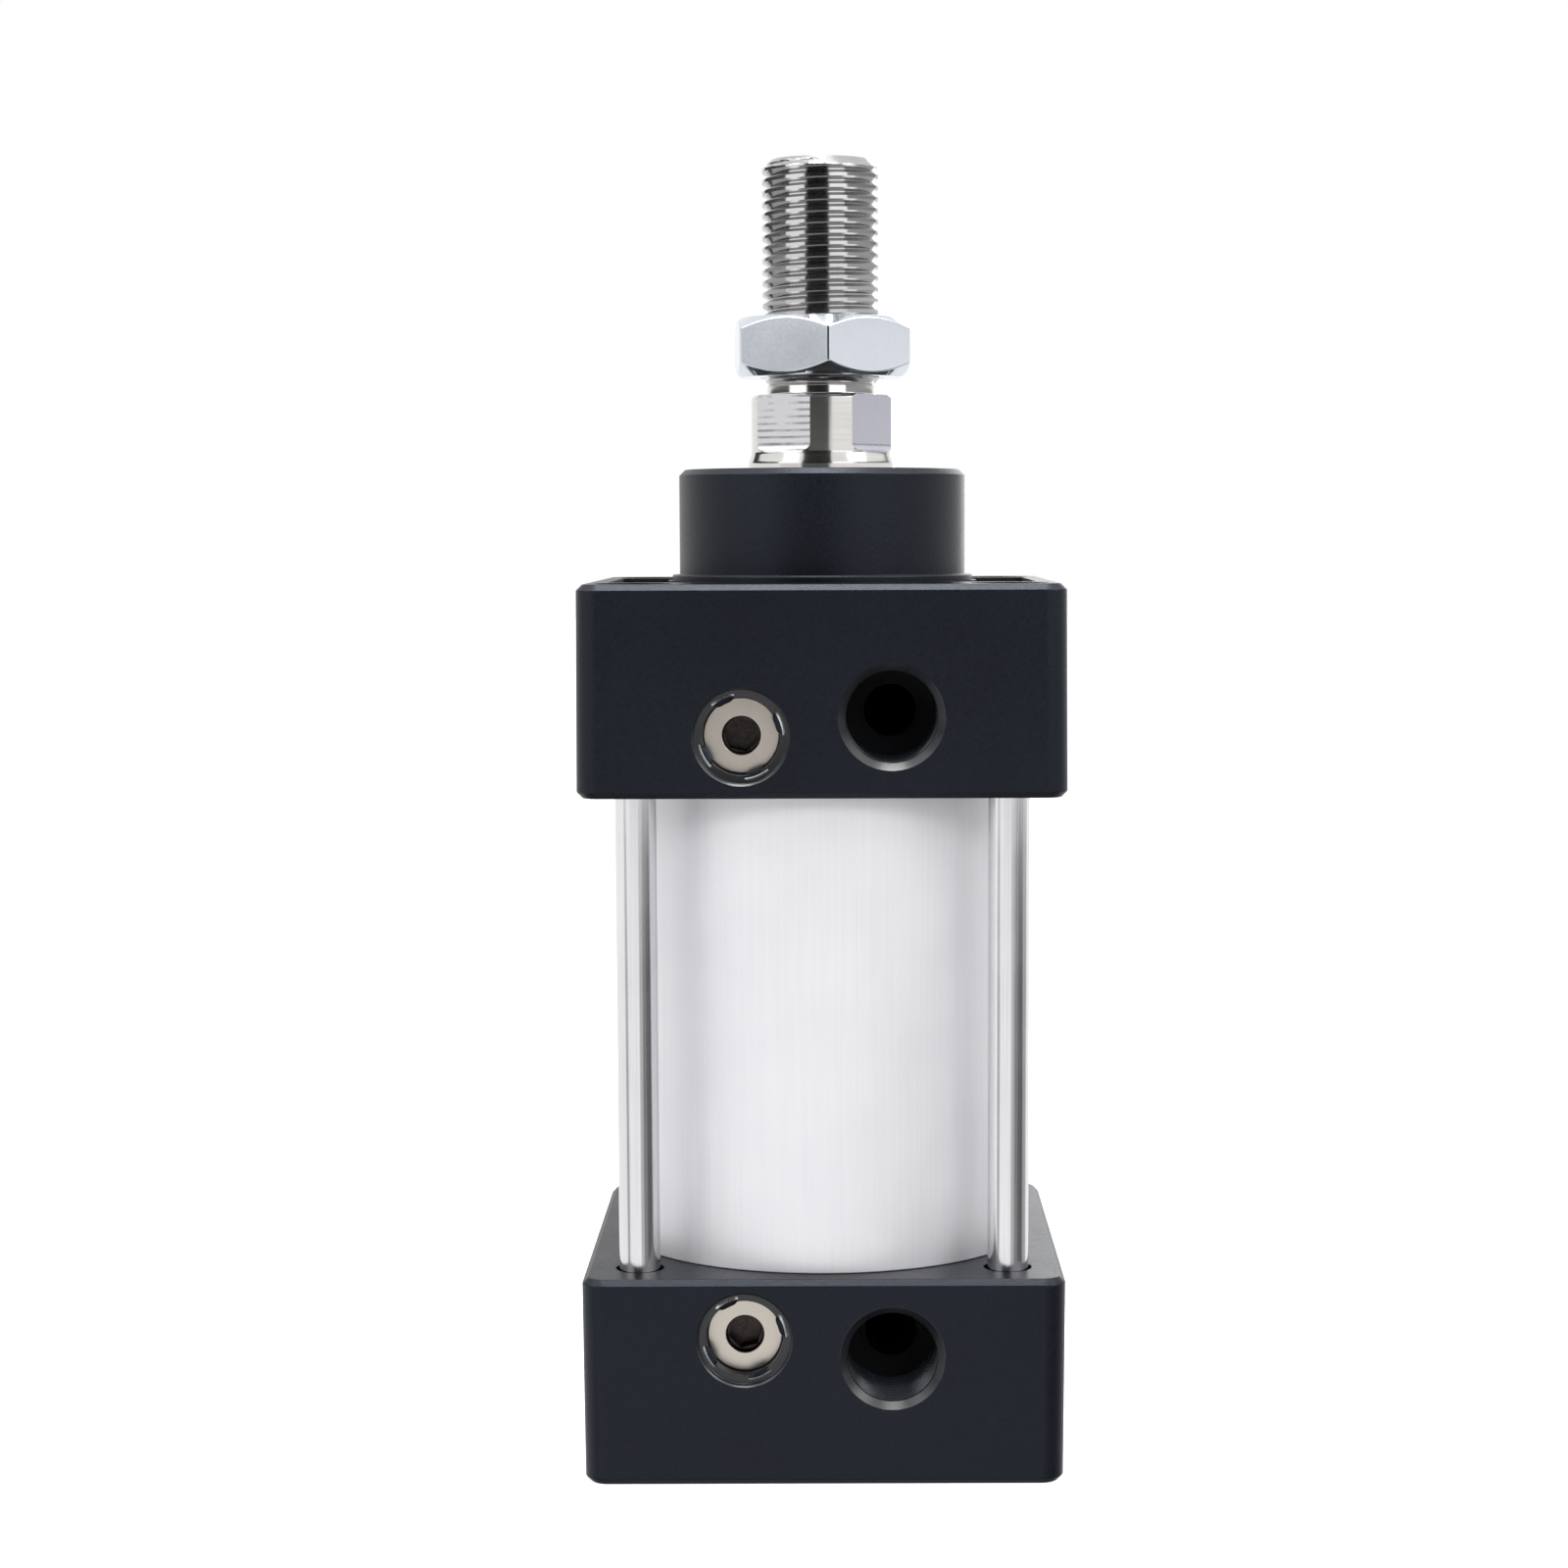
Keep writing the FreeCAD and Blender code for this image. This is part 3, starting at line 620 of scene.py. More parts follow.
def coverCuts(end):
    chamber, groove = chamberSizes[end], cushionGroove
    length = coverSizes["length"]
    low = -coverSizes["spigotLength"]
    cuts = [bar("chamberTool", chamber["radius"], low - spare, chamber["depth"]),
            bar("sealTool", chamber["radius"] + groove["depth"], low + groove["low"],
                low + groove["high"]),
            portTool(), screwTool()]
    for x in (-tieSizes["spread"], tieSizes["spread"]):
        for y in (-tieSizes["spread"], tieSizes["spread"]):
            holeY = y - math.copysign(tieSizes["holeShift"], y)
            cuts.append(bar("tieHoleTool", tieSizes["hole"], -spare, length, x, holeY))
            cuts.append(bar("nutBoreTool", tieSizes["nutBore"], tieSizes["nutSeat"],
                            length + spare, x, y))
    cuts += [pocketTool(quarter) for quarter in range(4)]
    return cuts


def spigot():
    # The register that reaches into the barrel, with its O-ring groove.
    size = coverSizes
    radius = size["spigotRadius"]
    floor = radius - size["grooveDepth"]
    low = size["spigotGap"] - size["spigotLength"]
    first = low + size["endLand"]
    second = first + size["grooveWidth"]
    outline = [(0, low), (radius, low), (radius, first), (floor, first), (floor, second),
               (radius, second), (radius, spare), (0, spare)]
    return makeObject("spigot", lathe(outline, segments=128), anodisedCastAluminium)


def boss():
    # The machined round boss and the low step at its foot.
    size = coverSizes
    floor = size["length"] - pocketSizes["depth"]
    step = size["length"] + size["stepHeight"]
    top = bossTop - frontInner
    radius, bevel, ease = size["bossRadius"], size["bossBevel"], size["ease"]
    outline = easedOutline([
        (0, floor, 0), (size["stepRadius"], floor, 0), (size["stepRadius"], step, size["stepEase"]),
        (radius, step, size["footEase"]), (radius, top - bevel, ease),
        (radius - bevel, top, ease), (0, top, 0)])
    return makeObject("boss", lathe(outline, segments=160), anodisedCastAluminium)


def guideCuts():
    size = guideSizes
    top = bossTop - frontInner
    return [bar("rodHoleTool", size["hole"], chamberSizes["front"]["depth"] - spare, top),
            bar("bushingTool", size["bushing"], size["bushingLow"], size["sealLow"]),
            bar("rodSealTool", size["sealBore"], size["sealLow"], top + spare, segments=96)]


# A cover and what it holds are drawn with the inner face at level 0; the rear ones mirrored.
endPlaces = {
    "front": Matrix.Translation((0, 0, frontInner)),
    "rear": Matrix.Translation((0, 0, rearInner)) @ Matrix.Scale(-1, 4, (0, 0, 1)),
}

frontCover = carve(coverBlock("frontCover"), [spigot(), boss()], "UNION")
carve(frontCover, coverCuts("front") + guideCuts())
addPiece(shift(frontCover, endPlaces["front"]), "housing", ["front_cover"], edgeBreak=0.12)

rearCover = carve(coverBlock("rearCover"), [spigot()], "UNION")
carve(rearCover, coverCuts("rear"))
addPiece(shift(rearCover, endPlaces["rear"]), "housing", ["rear_cover"], edgeBreak=0.12)
print("covers made")


# Threads

weldDistance = 1e-4
slimEdge = 1e-5


def helicalWall(bm, thread):
    # A thread's whole wall as a grid that climbs with the helix and is held between its ends.
    # radiusAt gives the radius at a share of the pitch and a level.
    pitch = thread["pitch"]
    low, high = thread["low"], thread["high"]
    fine, around = thread["pointsPerPitch"], thread["around"]
    rows = math.ceil((high - low) / pitch * fine) + fine
    columns = []
    for j in range(around):
        angle = 2 * math.pi * j / around
        column = []
        for k in range(-fine, rows + 1):
            level = min(max(low + pitch * (k / fine + j / around), low), high)
            share = (level - low) / pitch - j / around
            radius = thread["radiusAt"](share % 1.0, level)
            column.append(bm.verts.new(onCircle(radius, angle, level)))
        columns.append(column)
    for j in range(around):
        last = j == around - 1
        here, beside = columns[j], columns[(j + 1) % around]
        for k in range(len(here) - 1):
            lift = fine if last else 0
            a, b = min(k + lift, len(here) - 1), min(k + 1 + lift, len(here) - 1)
            corners = [here[k], beside[a], beside[b], here[k + 1]]
            if a == b:
                corners = [here[k], beside[a], here[k + 1]]
            bm.faces.new(corners)
    bmesh.ops.remove_doubles(bm, verts=bm.verts, dist=weldDistance)
    bmesh.ops.dissolve_degenerate(bm, edges=bm.edges, dist=slimEdge)


def openRims(bm):
    # The two end loops of a wall, lower one first, as closed lists of edges.
    rims = [edge for edge in bm.edges if len(edge.link_faces) == 1]
    middle = sum(edge.verts[0].co.z for edge in rims) / len(rims)
    lower = [edge for edge in rims if edge.verts[0].co.z < middle]
    return lower, [edge for edge in rims if edge.verts[0].co.z > middle]


def threadSleeve(name, thread, outer, material):
    # A sleeve whose inside is a thread. The hole that it sits in hides its outer side.
    bm = bmesh.new()
    helicalWall(bm, thread)
    around = thread["around"]
    turn = 2 * math.pi / around

    def columnOf(vert):
        return round(math.atan2(vert.co.y, vert.co.x) / turn) % around

    rings = []
    for rim, level in zip(openRims(bm), (thread["low"], thread["high"])):
        inside = sorted({vert for edge in rim for vert in edge.verts}, key=columnOf)
        ring = [bm.verts.new(onCircle(outer, turn * i, level)) for i in range(around)]
        bridgeRings(bm, inside, ring)
        rings.append(ring)
    bridgeRings(bm, rings[0], rings[1])
    return makeObject(name, bm, material)


def threadRadius(share, size):
    # Radius over one pitch: root, rising flank, crest, falling flank. Widths are shares of it.
    major, minor, flank = size["major"], size["minor"], size["flank"]
    rootEnd = size["root"] / 2
    crestStart, crestEnd = rootEnd + flank, 1 - rootEnd - flank
    if share < rootEnd or share > 1 - rootEnd:
        return minor
    if share < crestStart:
        return minor + (major - minor) * (share - rootEnd) / flank
    if share <= crestEnd:
        return major
    return major - (major - minor) * (share - crestEnd) / flank


# Piston rod

rodSizes = {
    "radius": 10.0,
    "stud": 6.0,
    "studBevel": 1.0,
    "studTop": 59.5,
    "neck": 9.6,
    "neckEase": 0.15,
    "flare": 1.3,
    "flareEase": 1.5,
    "flatsAcross": 17.0,
    "flatsLength": 6.6,
    "flatsRunout": 1.2,
    "flatsTurn": -37.0,
    "shoulder": 143.0,
    "shoulderBevel": 0.4,
    "shoulderEase": 0.1,
    "relief": 7.4,
    "reliefLength": 1.5,
    "reliefEase": 0.25,
    "core": 6.6,              # the blank's end, inside the thread
    "coreStart": 0.3,
    "coreEnd": 0.5,
}


cutterSizes = {"thickness": 8.0, "halfWidth": 12.0, "clearance": 0.02}


def rodBlank():
    size = rodSizes
    radius, neck, stud, relief = size["radius"], size["neck"], size["stud"], size["relief"]
    shoulder, bevel, ease = size["shoulder"], size["shoulderBevel"], size["shoulderEase"]
    flareTop = shoulder - size["flatsLength"] - size["flatsRunout"]
    flareLow = flareTop - size["flare"]
    start = shoulder + size["reliefLength"]
    outline = easedOutline([
        (0, rodLow, 0), (stud - size["studBevel"], rodLow, 0), (stud, rodLow + size["studBevel"], 0),
        (stud, size["studTop"], 0), (radius, size["studTop"], 0),
        (radius, flareLow, size["flareEase"]), (neck, flareTop, size["flareEase"]),
        (neck, shoulder - bevel, size["neckEase"]), (neck - bevel, shoulder, ease),
        (relief, shoulder, size["reliefEase"]), (relief, start - size["coreStart"], ease),
        (size["core"], start + size["coreEnd"], 0), (0, start + size["coreEnd"], 0)])
    return makeObject("pistonRod", lathe(outline, segments=192), groundChromedSteel)


def flatTool(quarter):
    # A block that mills one wrench flat; its lower inner edge is round, as the cutter was.
    size = cutterSizes
    inner = -rodSizes["flatsAcross"] / 2
    outer = inner - size["thickness"]
    low = rodSizes["shoulder"] - rodSizes["flatsLength"] - rodSizes["flatsRunout"]
    high = rodSizes["shoulder"] + size["clearance"]
    outline = easedOutline([(outer, low, 0), (inner, low, rodSizes["flatsRunout"]),
                            (inner, high, 0), (outer, high, 0)], steps=8)
    bm = bmesh.new()
    left = [bm.verts.new((-size["halfWidth"], y, z)) for y, z in outline]
    right = [bm.verts.new((size["halfWidth"], y, z)) for y, z in outline]
    bridgeRings(bm, left, right)
    bm.faces.new(left)
    bm.faces.new(right)
    tool = makeObject("flatTool", bm, linedMilledSteel if quarter % 2 == 0 else milledSteel)
    return shift(tool, Matrix.Rotation(math.radians(rodSizes["flatsTurn"] + 90 * quarter), 4, "Z"))


# The root and the flank are shares of the pitch that the rows of points fall on.
rodThreadSizes = {
    "major": 8.0,
    "minor": 7.22,
    "pitch": 1.5,
    "root": 0.10,
    "flank": 0.30,
    "startDrop": 0.15,        # the first turn rises from inside the relief
    "endBevel": 1.2,
}


def rodThread():
    size = rodThreadSizes
    low = rodSizes["shoulder"] + rodSizes["reliefLength"]

    def radiusAt(share, level):
        endRadius = size["major"] - size["endBevel"] + (rodEnd - level)
        startRadius = rodSizes["relief"] - size["startDrop"] + (level - low)
        return min(threadRadius(share, size), endRadius, startRadius)

    bm = bmesh.new()
    helicalWall(bm, {"pitch": size["pitch"], "low": low, "high": rodEnd,
                     "pointsPerPitch": 20, "around": 144, "radiusAt": radiusAt})
    for rim in openRims(bm):
        bmesh.ops.edgeloop_fill(bm, edges=rim)
    return makeObject("rodThread", bm, rolledThreadSteel)


pistonRod = carve(rodBlank(), [flatTool(quarter) for quarter in range(4)])
addPiece(pistonRod, "rod", ["piston_rod"], edgeBreak=0.1, breakAngle=25)
addPiece(rodThread(), "rod", sharpAngle=20)
print("rod made")


# Rod nut

nutSizes = {
    "flats": 23.0,
    "turn": 4.5,
    "bevelAngle": 38.0,
    "bevelStart": 0.5,
    "bevelEase": 0.4,
    "hole": 8.04,
    "countersink": 8.7,
    "mouthEase": 0.1,
    "edge": 0.6,
    "blankReach": 0.5,        # the bevelled blank goes on past the hexagon's corners
    "blankRise": 0.39,
}


def hexagonOutline(acrossFlats, turn):
    reach = acrossFlats / math.sqrt(3)
    return [onCircle(reach, math.radians(turn + 60 * i)) for i in range(6)]


def rodNut():
    size = nutSizes
    corner = size["flats"] / math.sqrt(3)
    flat = size["flats"] / 2 - size["bevelStart"]
    rise = (corner - flat) * math.tan(math.radians(size["bevelAngle"])) + size["blankRise"]
    outside = corner + size["blankReach"]
    hole, mouth = size["hole"], size["countersink"]
    cone = mouth - hole
    bevelEase, mouthEase = size["bevelEase"], size["mouthEase"]
    outline = easedOutline([
        (hole, nutLow + cone, 0), (mouth, nutLow, mouthEase), (flat, nutLow, bevelEase),
        (outside, nutLow + rise, 0), (outside, nutHigh - rise, 0),
        (flat, nutHigh, bevelEase), (mouth, nutHigh, mouthEase), (hole, nutHigh - cone, 0)],
        closed=True)
    blank = makeObject("nutBlank", lathe(outline, segments=144, closed=True), brightZincPlate)
    outline = [(x, y, size["edge"]) for x, y in hexagonOutline(size["flats"], size["turn"] - 90)]
    hexagon = prism("rodNut", easedOutline(outline, closed=True), nutLow - spare, nutHigh + spare)
    hexagon.data.materials.append(brightZincPlate)
    return carve(hexagon, [blank], "INTERSECT")


addPiece(rodNut(), "rod_nut", ["rod_nut"], edgeBreak=0.12, breakAngle=20)
print("nut made")


# Cushion screws and the staked rims that keep them in

needleSizes = {
    "radius": 4.95,
    "edge": 0.18,
    "ease": 0.1,
    "length": 8.0,
    "endEase": 0.2,
    "endLand": 1.2,
    "grooveWidth": 2.4,
    "groove": 3.15,
    "neck": 2.2,
    "neckEnd": 9.8,
    "tip": 0.8,
    "tipEnd": 11.4,
    "mouth": 2.5,
    "mouthEase": 0.12,
    "mouthTaper": 0.15,
    "mouthDepth": 1.4,
    "unshadedRim": (0.02, 0.1),  # the mouth's plated edge, across and down
    "socketFlats": 4.0,
    "socketDepth": 3.6,
    "socketTurn": 15,
}


def cushionScrew(name):
    size = needleSizes
    radius, ease, endEase = size["radius"], size["ease"], size["endEase"]
    length, groove, neck = size["length"], size["groove"], size["neck"]
    grooveEnd = length - size["endLand"]
    grooveStart = grooveEnd - size["grooveWidth"]
    mouth, mouthDepth = size["mouth"], size["mouthDepth"]
    outline = easedOutline([
        (0, mouthDepth, 0), (mouth - size["mouthTaper"], mouthDepth, ease),
        (mouth, 0, size["mouthEase"]), (radius, 0, size["edge"]),
        (radius, grooveStart, ease), (groove, grooveStart, ease),
        (groove, grooveEnd, ease), (radius, grooveEnd, ease), (radius, length, endEase),
        (neck, length, endEase), (neck, size["neckEnd"], 0),
        (size["tip"], size["tipEnd"], ease), (0, size["tipEnd"], 0)])
    screw = makeObject(name, lathe(outline), nickelPlatedBrass, brassSocketPaintedShade)
    # Faces inside the mouth take the near-black socket colour, painted shade in the recess; the
    # mouth's edge keeps the nickel.
    across, down = size["unshadedRim"]
    for face in screw.data.polygons:
        x, y, z = face.center
        inMouth = math.hypot(x, y) < mouth - across and down < z < grooveStart
        face.material_index = 1 if inMouth else 0
    socket = prism("socketTool", hexagonOutline(size["socketFlats"], size["socketTurn"]),
                   -spare, size["socketDepth"])
    # The socket's walls take the same painted shade from the tool.
    socket.data.materials.append(brassSocketPaintedShade)
    return carve(screw, [socket])


stakeSizes = {
    "angles": (19, 116, 208, 292),   # counter-clockwise from +X, seen from the front
    "halfSpan": 17,
    "inner": 4.6,
    "crest": 5.35,
    "crestWidth": 0.12,
    "foot": 5.95,
    "innerDepth": 1.45,
    "crestDepth": 0.95,
    "footDepth": 1.3,
    "bottomDepth": 1.68,
    "fade": 0.75,             # how far a stake runs out towards its ends
    "bareMargin": 0.03,       # bare metal starts that far outside the crest
    "steps": 10,
}


def stakedRim(name, mirrored):
    # Four crescents of cover metal, punched in over the screw's edge.
    size = stakeSizes
    crest, crestWidth, rimDepth = size["crest"], size["crestWidth"], screwSizes["rimDepth"]
    profile = [(size["inner"], size["bottomDepth"]), (size["inner"], size["innerDepth"]),
               (crest - crestWidth, size["crestDepth"]), (crest, size["crestDepth"]),
               (size["foot"], size["footDepth"]), (size["foot"], size["bottomDepth"])]
    bm = bmesh.new()
    steps = size["steps"]
    for middle in size["angles"]:
        middle = -middle if mirrored else middle
        slices = []
        for step in range(steps + 1):
            across = 2 * step / steps - 1
            angle = math.radians(middle + across * size["halfSpan"])
            fade = 1 - size["fade"] * across ** 4
            points = []
            for radius, depth in profile:
                if radius < crest - crestWidth:
                    radius = crest - (crest - radius) * fade
                depth = max(depth, rimDepth - (rimDepth - depth) * fade)
                points.append(bm.verts.new(onCircle(radius, angle, -depth)))
            slices.append(points)
        for first, second in zip(slices, slices[1:]):
            bridgeRings(bm, first, second)
        bm.faces.new(slices[0])
        bm.faces.new(slices[-1])
    for face in bm.faces:
        middle = face.calc_center_median()
        outer = math.hypot(middle.x, middle.y) > crest + size["bareMargin"]
        bare = outer and middle.z > size["bareMargin"] - size["bottomDepth"]
        face.material_index = 1 if bare else 0
    rim = makeObject(name, bm, anodisedCastAluminium, punchedBareAluminium)
    return layInSide(rim, screwSizes, turn=90)


for end, place in endPlaces.items():
    screw = layInSide(cushionScrew(end + "CushionScrew"), screwSizes, depth=screwSizes["recess"])
    addPiece(shift(screw, place), end + "_screw", [end + "_cushion_screw"])
    rim = shift(stakedRim(end + "StakedRim", end == "rear"), place)
    addPiece(rim, "housing", sharpAngle=40)
print("screws made")


# Port threads

portThreadSizes = {
    "major": portSizes["thread"],
    "minor": portSizes["bore"] + 0.02,
    "pitch": 1.337,
    "root": 0.2,
    "flank": 0.3,
    "low": portSizes["lip"] + 0.12,
    "high": portSizes["depth"] - 0.02,
    "startRadius": portSizes["thread"] - 0.1,
    "startSlope": 1.2,
    "sleeve": 0.08,
}


def portThread(name):
    # A sleeve whose inside is the port's pipe thread; the cover's lip hides its outer end.
    size = portThreadSizes

    def radiusAt(share, level):
        start = size["startRadius"] - (level - size["low"]) * size["startSlope"]
        return max(threadRadius(share, size), start)

    thread = {"pitch": size["pitch"], "low": size["low"], "high": size["high"],
              "pointsPerPitch": 12, "around": 72, "radiusAt": radiusAt}
    sleeve = threadSleeve(name, thread, size["major"] + size["sleeve"], oiledTappedThread)
    return layInSide(sleeve, portSizes)


for end, place in endPlaces.items():
    addPiece(shift(portThread(end + "PortThread"), place), "housing", sharpAngle=25)
print("port threads made")


# Barrel and tie rods

barrelSizes = {"outer": 28.0, "bore": 25.0, "lead": 0.6, "edge": 0.2}


def barrelTube():
    size = barrelSizes
    lead = size["lead"]
    outline = easedOutline([
        (size["bore"], rearInner + lead, 0), (size["bore"] + lead, rearInner, 0),
        (size["outer"], rearInner, size["edge"]), (size["outer"], frontInner, size["edge"]),
        (size["bore"] + lead, frontInner, 0), (size["bore"], frontInner - lead, 0)], closed=True)
    return makeObject("barrelTube", lathe(outline, segments=256, closed=True), clearAnodisedTube)


addPiece(barrelTube(), "housing", ["barrel"])

for number in range(1, 5):
    low, high = boxInMm(f"tie_rod_{number}")
    middle = (low + high) / 2
    radius, ease = tieSizes["radius"], tieSizes["endEase"]
    outline = easedOutline([(0, low.z, 0), (radius, low.z, ease), (radius, high.z, ease),
                            (0, high.z, 0)])
    tieRod = makeObject(f"tieRod{number}", lathe(outline), drawnPlatedSteel)
    shift(tieRod, Matrix.Translation((middle.x, middle.y, 0)))
    addPiece(tieRod, "housing", [f"tie_rod_{number}"])
print("barrel and tie rods made")


# Tie rod nuts

tieNutSizes = {
    "radius": 5.0,
    "bevel": 0.4,
    "ease": 0.1,
    "innerEase": 0.3,
    "rodHole": 2.75,
    "mouth": 1.5,
    "mouthDepth": 0.5,
    "socketFlats": 7.0,
    "socketTurn": 15,
    "socketDepth": 2.0,
    "threadDepth": 9.5,
    "threadClearance": 0.1,   # room round the thread's sleeve
}
tieThreadSizes = {
    "major": 3.0,
    "minor": 2.5,
    "pitch": 1.0,
    "root": 0.2,
    "flank": 0.3,
    "sleeve": 0.08,
    "endGap": 0.02,
}


def tieNut(name, length):
    # Drawn with its open end at level 0 and the tie rod below it.
    size = tieNutSizes
    radius, bevel, ease, rodHole = size["radius"], size["bevel"], size["ease"], size["rodHole"]
    mouth, mouthDepth, socketDepth = size["mouth"], size["mouthDepth"], size["socketDepth"]
    floor = -socketDepth - size["threadDepth"]
    core = tieThreadSizes["major"] + size["threadClearance"]
    outline = easedOutline([
        (rodHole, -length, 0), (radius, -length, size["innerEase"]), (radius, -bevel, ease),
        (radius - bevel, 0, ease), (mouth, 0, 0), (mouth, -mouthDepth, 0),
        (core, -mouthDepth - socketDepth, 0), (core, floor, 0), (rodHole, floor, 0)], closed=True)
    nut = makeObject(name, lathe(outline, segments=72, closed=True), brightZincPlate)
    socket = prism("nutSocketTool", hexagonOutline(size["socketFlats"], size["socketTurn"]),
                   -socketDepth, spare)
    socket.data.materials.append(brightZincPlate)
    return carve(nut, [socket])


def tieNutThread(name):
    # The M6 mounting thread as a sleeve inside the nut.
    size = tieThreadSizes
    top = -tieNutSizes["socketDepth"]
    low, high = top - tieNutSizes["threadDepth"] + size["endGap"], top - size["endGap"]

    def radiusAt(share, level):
        return max(threadRadius(share, size), size["major"] - (high - level))

    thread = {"pitch": size["pitch"], "low": low, "high": high,
              "pointsPerPitch": 10, "around": 48, "radiusAt": radiusAt}
    return threadSleeve(name, thread, size["major"] + size["sleeve"], brightZincPlate)


for end in ("front", "rear"):
    for number in range(1, 5):
        node = f"{end}_tie_nut_{number}"
        low, high = boxInMm(node)
        middle = (low + high) / 2
        length = high.z - low.z
        if end == "front":
            put = Matrix.Translation((middle.x, middle.y, high.z))
        else:
            put = Matrix.Translation((middle.x, middle.y, low.z)) @ Matrix.Rotation(math.pi, 4, "X")
        addPiece(shift(tieNut(f"{end}TieNut{number}", length), put), "housing", [node])
        sleeve = shift(tieNutThread(f"{end}TieNutThread{number}"), put)
        addPiece(sleeve, "housing", sharpAngle=25)
print("tie nuts made")


# Rod seal: the wiper's lip shows round the rod

sealSizes = {
    "inner": 10.05,
    "outer": 14.45,
    "low": 126.0,
    "notch": 2.6,
    "lip": 1.0,
    "tipEase": 0.1,
    "lipEase": 0.2,
    "ease": 0.3,
}


def rodSeal():
    size = sealSizes
    inner, outer, low, lip = size["inner"], size["outer"], size["low"], size["lip"]
    ease, lipEase, tipEase = size["ease"], size["lipEase"], size["tipEase"]
    middle = (inner + outer) / 2
    relief = inner + lip
    notch = low + size["notch"]
    top = bossTop
    outline = easedOutline([
        (inner, low, lipEase), (relief, low, lipEase), (middle, notch, ease),
        (outer - lip, low, lipEase), (outer, low, lipEase), (outer, top, ease),
        (relief, top, lipEase), (relief - lip / 2, top - lip, lipEase),
        (inner, top - lip, tipEase), (inner, top - 2 * lip, tipEase),
        (relief, top - 3 * lip, ease), (inner, notch, ease)], closed=True)
    return makeObject("rodSeal", lathe(outline, segments=128, closed=True), mouldedBlackRubber)


addPiece(rodSeal(), "housing", ["rod_seal"])

# The inner pieces keep their CAD shapes and get their finishes.
innerFinishes = {
    "rod_bushing": sinteredBronze,
    "piston_rear_half": turnedAluminium,
    "piston_front_half": turnedAluminium,
    "wear_ring": filledFluoropolymer,
    "magnet_ring": bondedFerrite,
    "front_plunger": turnedSteel,
    "rear_plunger": turnedSteel,
}
for name in frameNodes:
    if name.endswith(("_o_ring", "_cushion_seal", "_piston_seal")):
        innerFinishes[name] = mouldedBlackRubber
for name, finish in innerFinishes.items():
    frameNodes[name].data.materials.clear()
    frameNodes[name].data.materials.append(finish)
print("inner pieces finished")


# Stage: a pale floor, a white surround, soft lamps and cards that only reflections show

floorSizes = {"radius": 4.0, "colour": "#EDEDED", "glow": 0.78}


def paleFloor():
    bm = bmesh.new()
    bmesh.ops.create_circle(bm, cap_ends=True, segments=64, radius=floorSizes["radius"])
    material = bpy.data.materials.new("paleFloor")
    tree = startTree(material)
    paint = addNode(tree, "ShaderNodeBsdfDiffuse", {"Color": linearColour(floorSizes["colour"])})
    light = addNode(tree, "ShaderNodeLightPath")
    # Only the camera sees the floor's glow, so it lights nothing and keeps the shadow.
    glowing = addNode(tree, "ShaderNodeMath", {1: floorSizes["glow"]},
                      {0: light.outputs["Is Camera Ray"]}, operation="MULTIPLY")
    glow = addNode(tree, "ShaderNodeEmission", {}, {"Strength": glowing.outputs[0]})
    both = addNode(tree, "ShaderNodeAddShader", {}, {0: paint.outputs[0], 1: glow.outputs[0]})
    addNode(tree, "ShaderNodeOutputMaterial", {}, {"Surface": both.outputs[0]})
    floor = makeObject("floor", bm, material)
    floor.visible_glossy = False


surroundStrength = {"lighting": 0.55, "seen": 1.0}     # on the object, and in view or mirrored


def whiteSurround():
    world = bpy.data.worlds.new("surround")
    bpy.context.scene.world = world
    tree = startTree(world)
    light = addNode(tree, "ShaderNodeLightPath")
    seen = light.outputs["Is Camera Ray"]
    for ray in ("Is Glossy Ray", "Is Transmission Ray"):
        seen = addNode(tree, "ShaderNodeMath", {}, {0: seen, 1: light.outputs[ray]},
                       operation="MAXIMUM").outputs[0]
    strength = addNode(tree, "ShaderNodeMapRange", {"To Min": surroundStrength["lighting"],
                                                    "To Max": surroundStrength["seen"]},
                       {"Value": seen})
    white = addNode(tree, "ShaderNodeBackground", {"Color": (1, 1, 1, 1)},
                    {"Strength": strength.outputs[0]})
    addNode(tree, "ShaderNodeOutputWorld", {}, {"Surface": white.outputs[0]})


